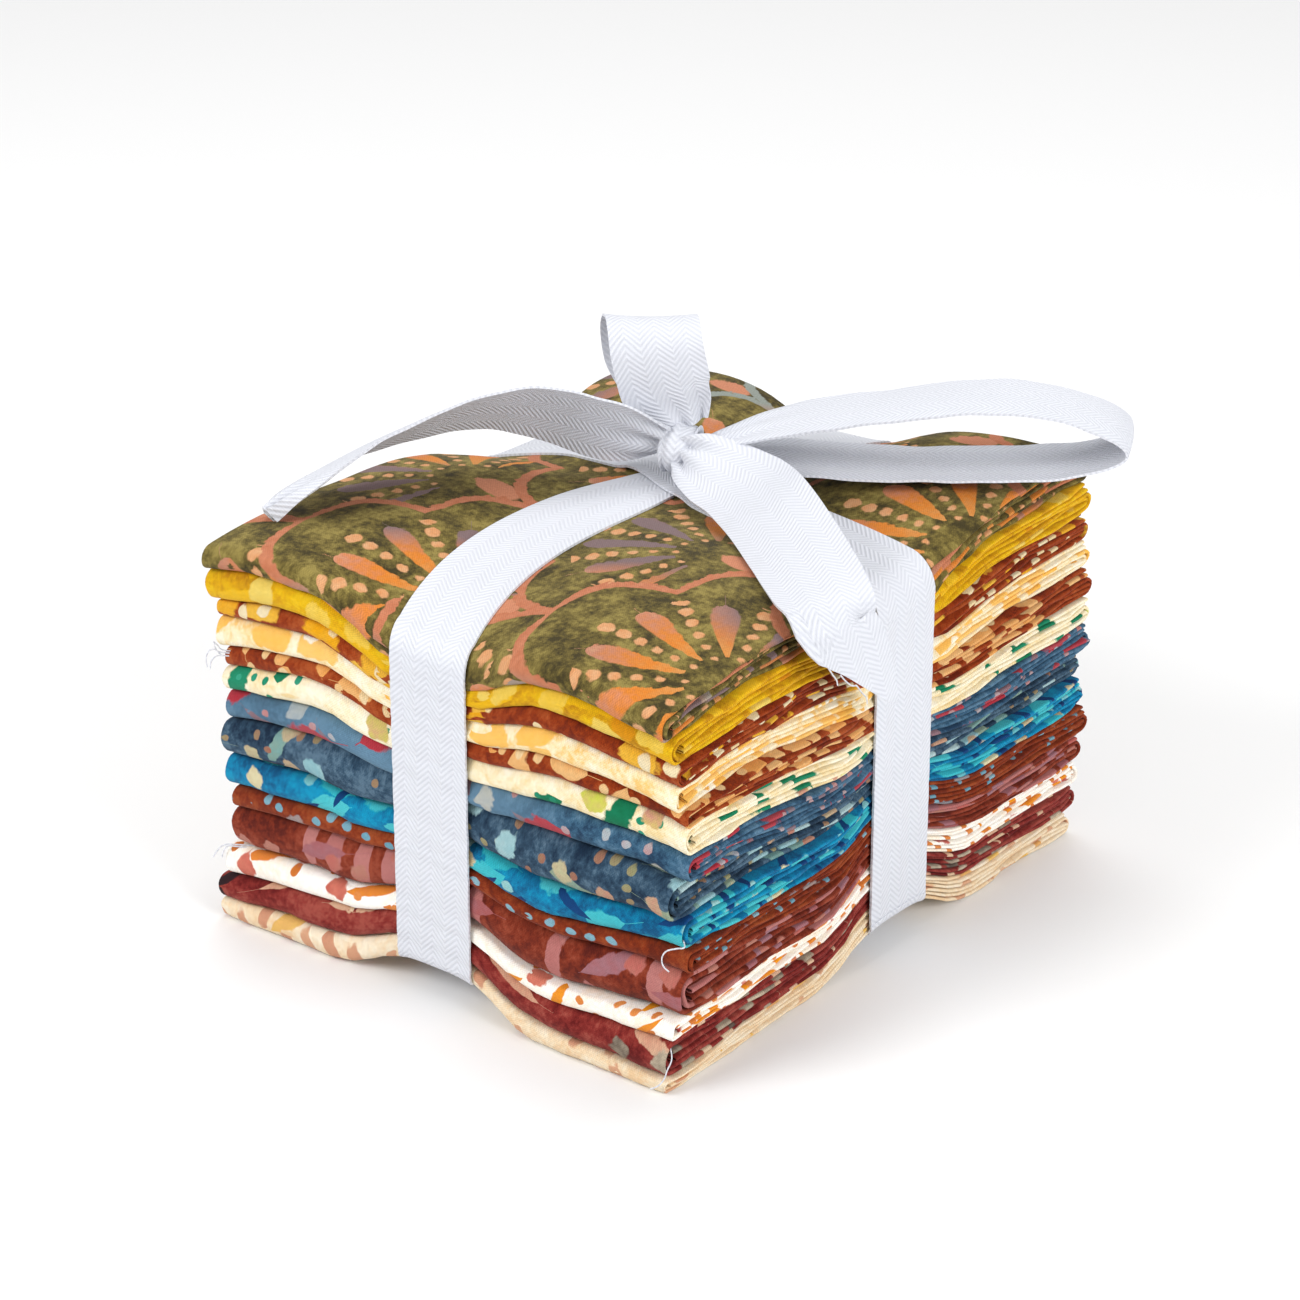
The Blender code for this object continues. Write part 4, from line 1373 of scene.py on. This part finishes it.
@dataclass(frozen=True)
class Band:
    """A tape that is wrapped once round the stack."""

    name: str
    stack: Stack
    lengthwise: bool
    width: float = 22.6
    thick: float = 0.6
    clear: float = 0.25
    over: float = 0.0
    bends: tuple[float, float] = (2.6, 2.6)
    drift: float = 0.0
    gather: float = 0.30
    cross: tuple[float, float] = (-9.0, 18.0)
    columns: int = 11

    def reach(self) -> float:
        """Distance from the middle of the stack to the upright stretch of the tape."""
        half = self.stack.half_d if self.lengthwise else self.stack.half_w
        return half - self.stack.cinch + (0.85 if self.lengthwise else 1.0)

    def place(self, u: Array, w: Array) -> tuple[Array, Array]:
        """X and Y of a point at u along the tape and w across it, on top of the stack."""
        crossing = self.cross[1] if self.lengthwise else self.cross[0]
        drawn = 1.0 - self.gather * np.exp(-(((u - crossing) / 17.0) ** 2))
        if self.lengthwise:
            return self.stack.tape_x(u) + w * drawn, u
        shift = self.drift * smoothstep(4.0, 24.0, -u) * smoothstep(-62.0, -40.0, u)
        return u, self.stack.tape_y(u) + w * drawn + shift

    def rise(self, u: Array, w: Array) -> Array:
        """How far this tape is lifted where it crosses over the other one."""
        x, y = self.place(u, w)
        gap = np.abs(x - self.stack.tape_x(y)) if not self.lengthwise else np.full_like(x, 99.0)
        return self.over * smoothstep(-16.5, -11.6, -gap)

    def points(self) -> tuple[Array, Array]:
        """The tape's points in millimetres and their flat coordinates."""
        stack = self.stack
        reach = self.reach()
        bend = min(self.bends)
        columns = []
        for w in np.linspace(-self.width / 2.0, self.width / 2.0, self.columns):

            def level_at(u: Array, upper: bool) -> Array:
                """Height of the tape's middle on top of the stack or under it."""
                x, y = self.place(u, np.full_like(u, w))
                rise = self.clear + self.rise(u, np.full_like(u, w))
                return stack.top(x, y) + rise if upper else stack.bottom(x, y) - rise

            def side(sign: float) -> tuple[Array, Array]:
                """The upright stretch at one end, from below to above."""
                upper = self.bends[1] if sign > 0.0 else self.bends[0]
                low = level_at(np.array([sign * (reach - bend)]), False)[0]
                high = level_at(np.array([sign * (reach - upper)]), True)[0]
                angle = np.linspace(0.0, math.pi / 2.0, 6)
                crown = np.linspace(0.0, math.pi / 2.0, 10)
                x, y = self.place(np.array([sign * reach]), np.array([w]))
                marks = stack.marks(x, y)[:, 0]
                height = np.linspace(low + bend, high - upper, 84)
                share = (height - low) / (high - low)
                cloth = np.searchsorted(marks, share) - 1
                cloth = np.clip(cloth, 0, len(CLOTHS) - 1)
                inner = (share - marks[cloth]) / (marks[cloth + 1] - marks[cloth])
                bump = 0.42 * np.clip(np.sin(math.pi * np.clip(inner, 0.0, 1.0)), 0.0, 1.0) ** 0.6
                bump = bump if self.lengthwise and sign < 0.0 else 0.3 * bump
                out = np.concatenate([
                    reach - bend + bend * np.sin(angle),
                    reach - 0.3 + bump,
                    reach - upper + upper * np.cos(crown),
                ])
                up = np.concatenate([
                    low + bend - bend * np.cos(angle),
                    height,
                    high - upper + upper * np.sin(crown),
                ])
                return sign * out, up

            half = np.linspace(0.0, reach - bend, 30)[:-1]
            front_out, front_up = side(-1.0)
            back_out, back_up = side(1.0)
            across = np.linspace(self.bends[0] - reach, reach - self.bends[1], 72)[1:-1]
            u = np.concatenate([-half, front_out, across, back_out[::-1], half[::-1]])
            z = np.concatenate([
                level_at(-half, False),
                front_up,
                level_at(across, True),
                back_up[::-1],
                level_at(half[::-1], False),
            ])
            x, y = self.place(u, np.full_like(u, w))
            if self.lengthwise:
                inside = np.clip(u, -stack.half_d, stack.half_d)
                x = self.place(inside, np.full_like(u, w))[0]
            under = (np.arange(len(u)) < len(half)) | (np.arange(len(u)) >= len(u) - len(half))
            if not self.lengthwise:
                y = np.where(under, stack.tape_y(u) + w, y)
            columns.append(np.stack([x, y, z], axis=-1))
        grid = np.stack(columns, axis=1)
        middle = grid[:, self.columns // 2]
        run = distance_along(middle)
        w = np.linspace(-self.width / 2.0, self.width / 2.0, self.columns)
        flat = np.stack(np.broadcast_arrays(run[:, None], w[None, :]), axis=-1)
        return grid, flat

    def build(self, surface: bpy.types.Material) -> bpy.types.Object:
        """The tape as a dressed sheet that stands for its node."""
        grid, flat = self.points()
        piece = grid_sheet(f"{self.name}_weave", grid, flat, self.thick)
        stand_in(piece, surface, self.name)
        return piece


@dataclass(frozen=True)
class Strip:
    """A free length of tape: a loop or a tail of the bow.

    Args:
        name: The node that it stands for.
        rows: Its stations: place, width direction and width share.
        slant: How much longer one edge is at the cut.
        cup: How far its middle stands off its edges.
        waves: How many folds it gathers into at the knot.
    """

    name: str
    rows: Array
    slant: float = 0.0
    cup: float = 0.5
    waves: float = 2.5
    width: float = 22.6
    thick: float = 0.6
    columns: int = 17
    steps: int = 7

    def points(self) -> tuple[Array, Array]:
        """The strip's points in millimetres and their flat coordinates."""
        rows = smooth_rows(self.rows, self.steps)
        end = rows[-1] + (rows[-1] - rows[-2]) * 4.0 * self.steps
        rows = np.concatenate([rows, end[None, :]])
        rows[:, 6] = np.clip(rows[:, 6], 0.05, 1.0)
        centre = rows[:, 0:3]
        run = distance_along(centre)
        length = run[-2]
        ahead = unit(np.gradient(centre, run, axis=0))
        wide = rows[:, 3:6]
        wide = unit(wide - ahead * np.sum(wide * ahead, axis=-1, keepdims=True))
        normal = np.cross(ahead, wide)
        count = int(length / 1.3) + 2
        columns = []
        flats = []
        for c in np.linspace(-1.0, 1.0, self.columns):
            reach = length + c * self.slant / 2.0
            s = np.linspace(0.0, reach, count)

            def at(values: Array) -> Array:
                """The values read along this column."""
                return np.stack([np.interp(s, run, values[:, i]) for i in range(values.shape[1])], axis=-1)

            share = np.interp(s, run, rows[:, 6])
            half = share * self.width / 2.0
            gather = 2.4 * (1.0 - share) * np.cos(self.waves * math.pi * c + 0.6)
            cup = -self.cup * (c * c - 0.4) * np.sin(np.clip(s / 14.0, 0.0, math.pi / 2.0))
            roll = 0.35 * ripple(s, c * 0.35 + 2.0, 46.0) * c * c
            off = gather + cup + roll
            columns.append(at(centre) + at(wide) * (c * half)[:, None] + at(normal) * off[:, None])
            flats.append(np.stack([s, np.full_like(s, c * self.width / 2.0)], axis=-1))
        return np.stack(columns, axis=1), np.stack(flats, axis=1)

    def build(self, surface: bpy.types.Material) -> bpy.types.Object:
        """The strip as a dressed sheet that stands for its node."""
        grid, flat = self.points()
        piece = grid_sheet(f"{self.name}_weave", grid, flat, self.thick)
        stand_in(piece, surface, self.name)
        return piece


@dataclass(frozen=True)
class Bow:
    """The knot, its two loops and its two tails."""

    centre: tuple[float, float, float] = (-7.0, 20.5, 107.4)
    upright_back: tuple[float, float] = (-0.62, 0.78)
    upright_wide: tuple[float, float] = (0.78, 0.62)
    right_out: tuple[float, float] = (0.869, 0.495)
    right_wide: tuple[float, float] = (-0.495, 0.869)
    knot_half: tuple[float, float] = (6.0, 4.6)
    knot_wide: float = 8.6
    knot_shift: float = -2.4

    def loop(self, table: Sequence[tuple[float, ...]], run: Sequence[float], wide: Sequence[float]) -> Array:
        """A loop's stations from its table, in the upright plane along run."""
        rows = []
        x, y, z = self.centre
        for out, height, *aside, share in table:
            shift = aside[0] if aside else 0.0
            along = x + run[0] * out + wide[0] * shift
            across = y + run[1] * out + wide[1] * shift
            rows.append((along, across, z + height, *wide, 0.0, share))
        return np.array(rows)

    def knot(self) -> tuple[Array, Array]:
        """The flattened loop of tape that is pulled tight round the crossing.

        Returns:
            The wrap's points in millimetres and their flat coordinates.
        """
        axis = unit(np.array([0.86, 0.50, 0.10]))
        side = np.array([-axis[1], axis[0], 0.0])
        side = side / np.linalg.norm(side)
        turn = np.linspace(-0.62 * math.pi, 1.62 * math.pi, 80)
        across = np.linspace(-1.0, 1.0, 45)
        angle, c = np.meshgrid(turn, across, indexing="ij")
        tuck = 0.5 + 0.5 * np.abs(np.sin(angle * 0.5 + 0.3)) ** 0.7
        crease = 0.45 * np.cos(3.0 * math.pi * c + 0.8 * np.sin(angle))
        crease = crease + 0.25 * np.cos(7.0 * math.pi * c + angle)
        half = self.knot_wide / 2.0 * (0.86 + 0.14 * np.sin(angle - 0.4))
        along = half * np.sin(math.pi * c * 0.96)
        deep = 1.0 * np.cos(math.pi * c) * tuck + crease
        out = self.knot_half[0] + deep
        rise = self.knot_half[1] + deep
        lean = 0.9 * np.cos(angle)
        centre = np.array(self.centre) + axis * self.knot_shift
        place = centre + axis * (along + lean)[..., None] + side * (out * np.cos(angle))[..., None]
        place[..., 2] += rise * np.sin(angle)
        run = turn * 5.3
        flat = np.stack(np.broadcast_arrays(run[:, None], across[None, :] * 11.3), axis=-1)
        return place, flat

    def build(self, surface: bpy.types.Material) -> list[bpy.types.Object]:
        """Every piece of the bow."""
        upright = Strip("loop_upright", self.loop(LOOP_UPRIGHT, self.upright_back, self.upright_wide))
        right = Strip("loop_right", self.loop(LOOP_RIGHT, self.right_out, self.right_wide))
        left_tail = Strip("tail_left", np.array(TAIL_LEFT), cup=1.2)
        right_tail = Strip("tail_right", np.array(TAIL_RIGHT), slant=33.0, cup=0.3)
        pieces = [strip.build(surface) for strip in (upright, right, left_tail, right_tail)]
        grid, flat = self.knot()
        knot = grid_sheet("tape_knot_weave", grid, flat, 0.5)
        stand_in(knot, surface, "tape_knot")
        length = float(flat[-1, 0, 0] - flat[0, 0, 0])
        return [*pieces, knot]


@dataclass(frozen=True)
class LooseThreads:
    """The ends of white thread that stand out from the cut edges, as one piece."""

    thick: float = 0.26
    steps: int = 5

    def strand(self, name: str, rows: Array) -> bpy.types.Object:
        """One end of thread.

        Args:
            name: Its name until it is joined to the others.
            rows: The places that it runs through, in millimetres.

        Returns:
            Its object.
        """
        middle = smooth_rows(rows, self.steps)
        ahead = unit(np.gradient(middle, axis=0))
        wide = unit(np.cross(ahead, np.array([0.36, -0.46, 0.81])))
        edge = wide * self.thick / 2.0
        grid = np.stack([middle - edge, middle + edge], axis=1)
        run = distance_along(middle)
        flat = np.stack(np.broadcast_arrays(run[:, None], np.array([[0.0, self.thick]])), axis=-1)
        return grid_sheet(name, grid, flat, self.thick)

    def build(self, surface: bpy.types.Material) -> bpy.types.Object:
        """Every end of thread, joined.

        Args:
            surface: The thread's material.

        Returns:
            The piece.
        """
        table = np.array(THREADS)
        strands = []
        for number in np.unique(table[:, 0]):
            rows = table[table[:, 0] == number, 1:]
            strands.append(self.strand(f"thread_{int(number)}", rows))
        bpy.ops.object.select_all(action="DESELECT")
        for strand in strands:
            strand.select_set(True)
        bpy.context.view_layer.objects.active = strands[0]
        bpy.ops.object.join()
        piece = bpy.context.object
        piece.name = "loose_threads"
        piece.data.name = "loose_threads"
        piece.data.materials.append(surface)
        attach(piece, "root")
        return piece


@dataclass(frozen=True)
class Lamp:
    """One soft light, in metres and watts."""

    name: str
    place: tuple[float, float, float]
    size: float
    power: float


@dataclass(frozen=True)
class Studio:
    """A pale floor, soft lights and the camera at the photograph's angle."""

    camera: tuple[float, float, float] = (0.5627, -0.7213, 0.4891)
    right: tuple[float, float, float] = (0.78113, 0.62437, 0.0)
    up: tuple[float, float, float] = (-0.26246, 0.32835, 0.90736)
    back: tuple[float, float, float] = (0.56653, -0.70877, 0.42035)
    lens: float = 115.1
    lamps: tuple[Lamp, ...] = (
        Lamp("key", (-0.55, -1.15, 0.95), 0.8, 13.8),
        Lamp("right", (1.25, -0.15, 0.7), 0.8, 11.8),
        Lamp("above", (-0.2, 0.4, 1.5), 0.9, 8.8),
    )

    def shoot(self) -> None:
        """Places the camera."""
        sight = bpy.data.cameras.new("camera")
        sight.lens = self.lens
        sight.sensor_width = 36.0
        sight.clip_start = 0.01
        eye = bpy.data.objects.new("camera", sight)
        turn = Matrix((self.right, self.up, self.back)).transposed().to_4x4()
        eye.matrix_world = Matrix.Translation(Vector(self.camera)) @ turn
        bpy.context.scene.collection.objects.link(eye)
        bpy.context.scene.camera = eye

    def light(self) -> None:
        """Adds the lamps and a pale surround."""
        for lamp in self.lamps:
            data = bpy.data.lights.new(lamp.name, "AREA")
            data.shape = "DISK"
            data.size = lamp.size
            data.energy = lamp.power
            made = bpy.data.objects.new(lamp.name, data)
            made.location = lamp.place
            aim = Vector((0.0, 0.0, 0.05)) - Vector(lamp.place)
            made.rotation_euler = aim.to_track_quat("-Z", "Y").to_euler()
            bpy.context.scene.collection.objects.link(made)
        world = bpy.data.worlds.new("surround")
        world.use_nodes = True
        world.node_tree.nodes["Background"].inputs[0].default_value = (1.0, 1.0, 1.0, 1.0)
        world.node_tree.nodes["Background"].inputs[1].default_value = 0.52
        bpy.context.scene.world = world
        bpy.context.scene.view_settings.view_transform = "Standard"

    def floor(self) -> None:
        """Adds the pale floor."""
        bpy.ops.object.select_all(action="DESELECT")
        bpy.ops.mesh.primitive_plane_add(size=8.0)
        ground = bpy.context.object
        ground.name = "floor"
        paint = bpy.data.materials.new("floor")
        paint.use_nodes = True
        shader = paint.node_tree.nodes["Principled BSDF"]
        shader.inputs["Base Color"].default_value = (0.86, 0.86, 0.86, 1.0)
        shader.inputs["Roughness"].default_value = 0.9
        ground.data.materials.append(paint)


def build_cloth(index: int, row: ClothRow, stack: Stack) -> bpy.types.Object:
    """One folded fat quarter, dressed, standing for its node.

    Args:
        index: Its place in the stack, bottom first.
        row: Its row of sizes.
        stack: The space that it lies in.

    Returns:
        The piece.
    """
    cloth = Cloth(index, row, stack)
    grid, flat = cloth.points()
    piece = grid_sheet(f"{row.name}_fold", grid, flat, cloth.thick)
    motifs = tuple(Motif(*values) for values in MOTIFS.get(row.name, ()))
    cotton = Cotton(row.name, PRINTS[row.name], motifs)
    stand_in(piece, cotton.material(), row.name)
    return piece


def main() -> None:
    """Builds the bundle in order and reports each piece."""
    logging.basicConfig(level=logging.INFO, format="%(message)s")
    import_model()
    studio = Studio()
    studio.shoot()
    stack = Stack()
    for index, row in enumerate(CLOTHS):
        piece = build_cloth(index, row, stack)
        LOG.info("%s: %d faces", piece.name, len(piece.data.polygons))
    tape = Twill().material()
    front_back = Band("tape_front_back", stack, True, bends=(6.0, 2.6))
    side_side = Band("tape_side_side", stack, False, over=0.9, bends=(2.6, 8.6), drift=6.0)
    for band in (front_back, side_side):
        LOG.info("%s", band.build(tape).name)
    for piece in Bow().build(tape):
        LOG.info("%s", piece.name)
    LOG.info("%s", LooseThreads().build(tape).name)
    studio.floor()
    studio.light()


if __name__ == "__main__":
    main()
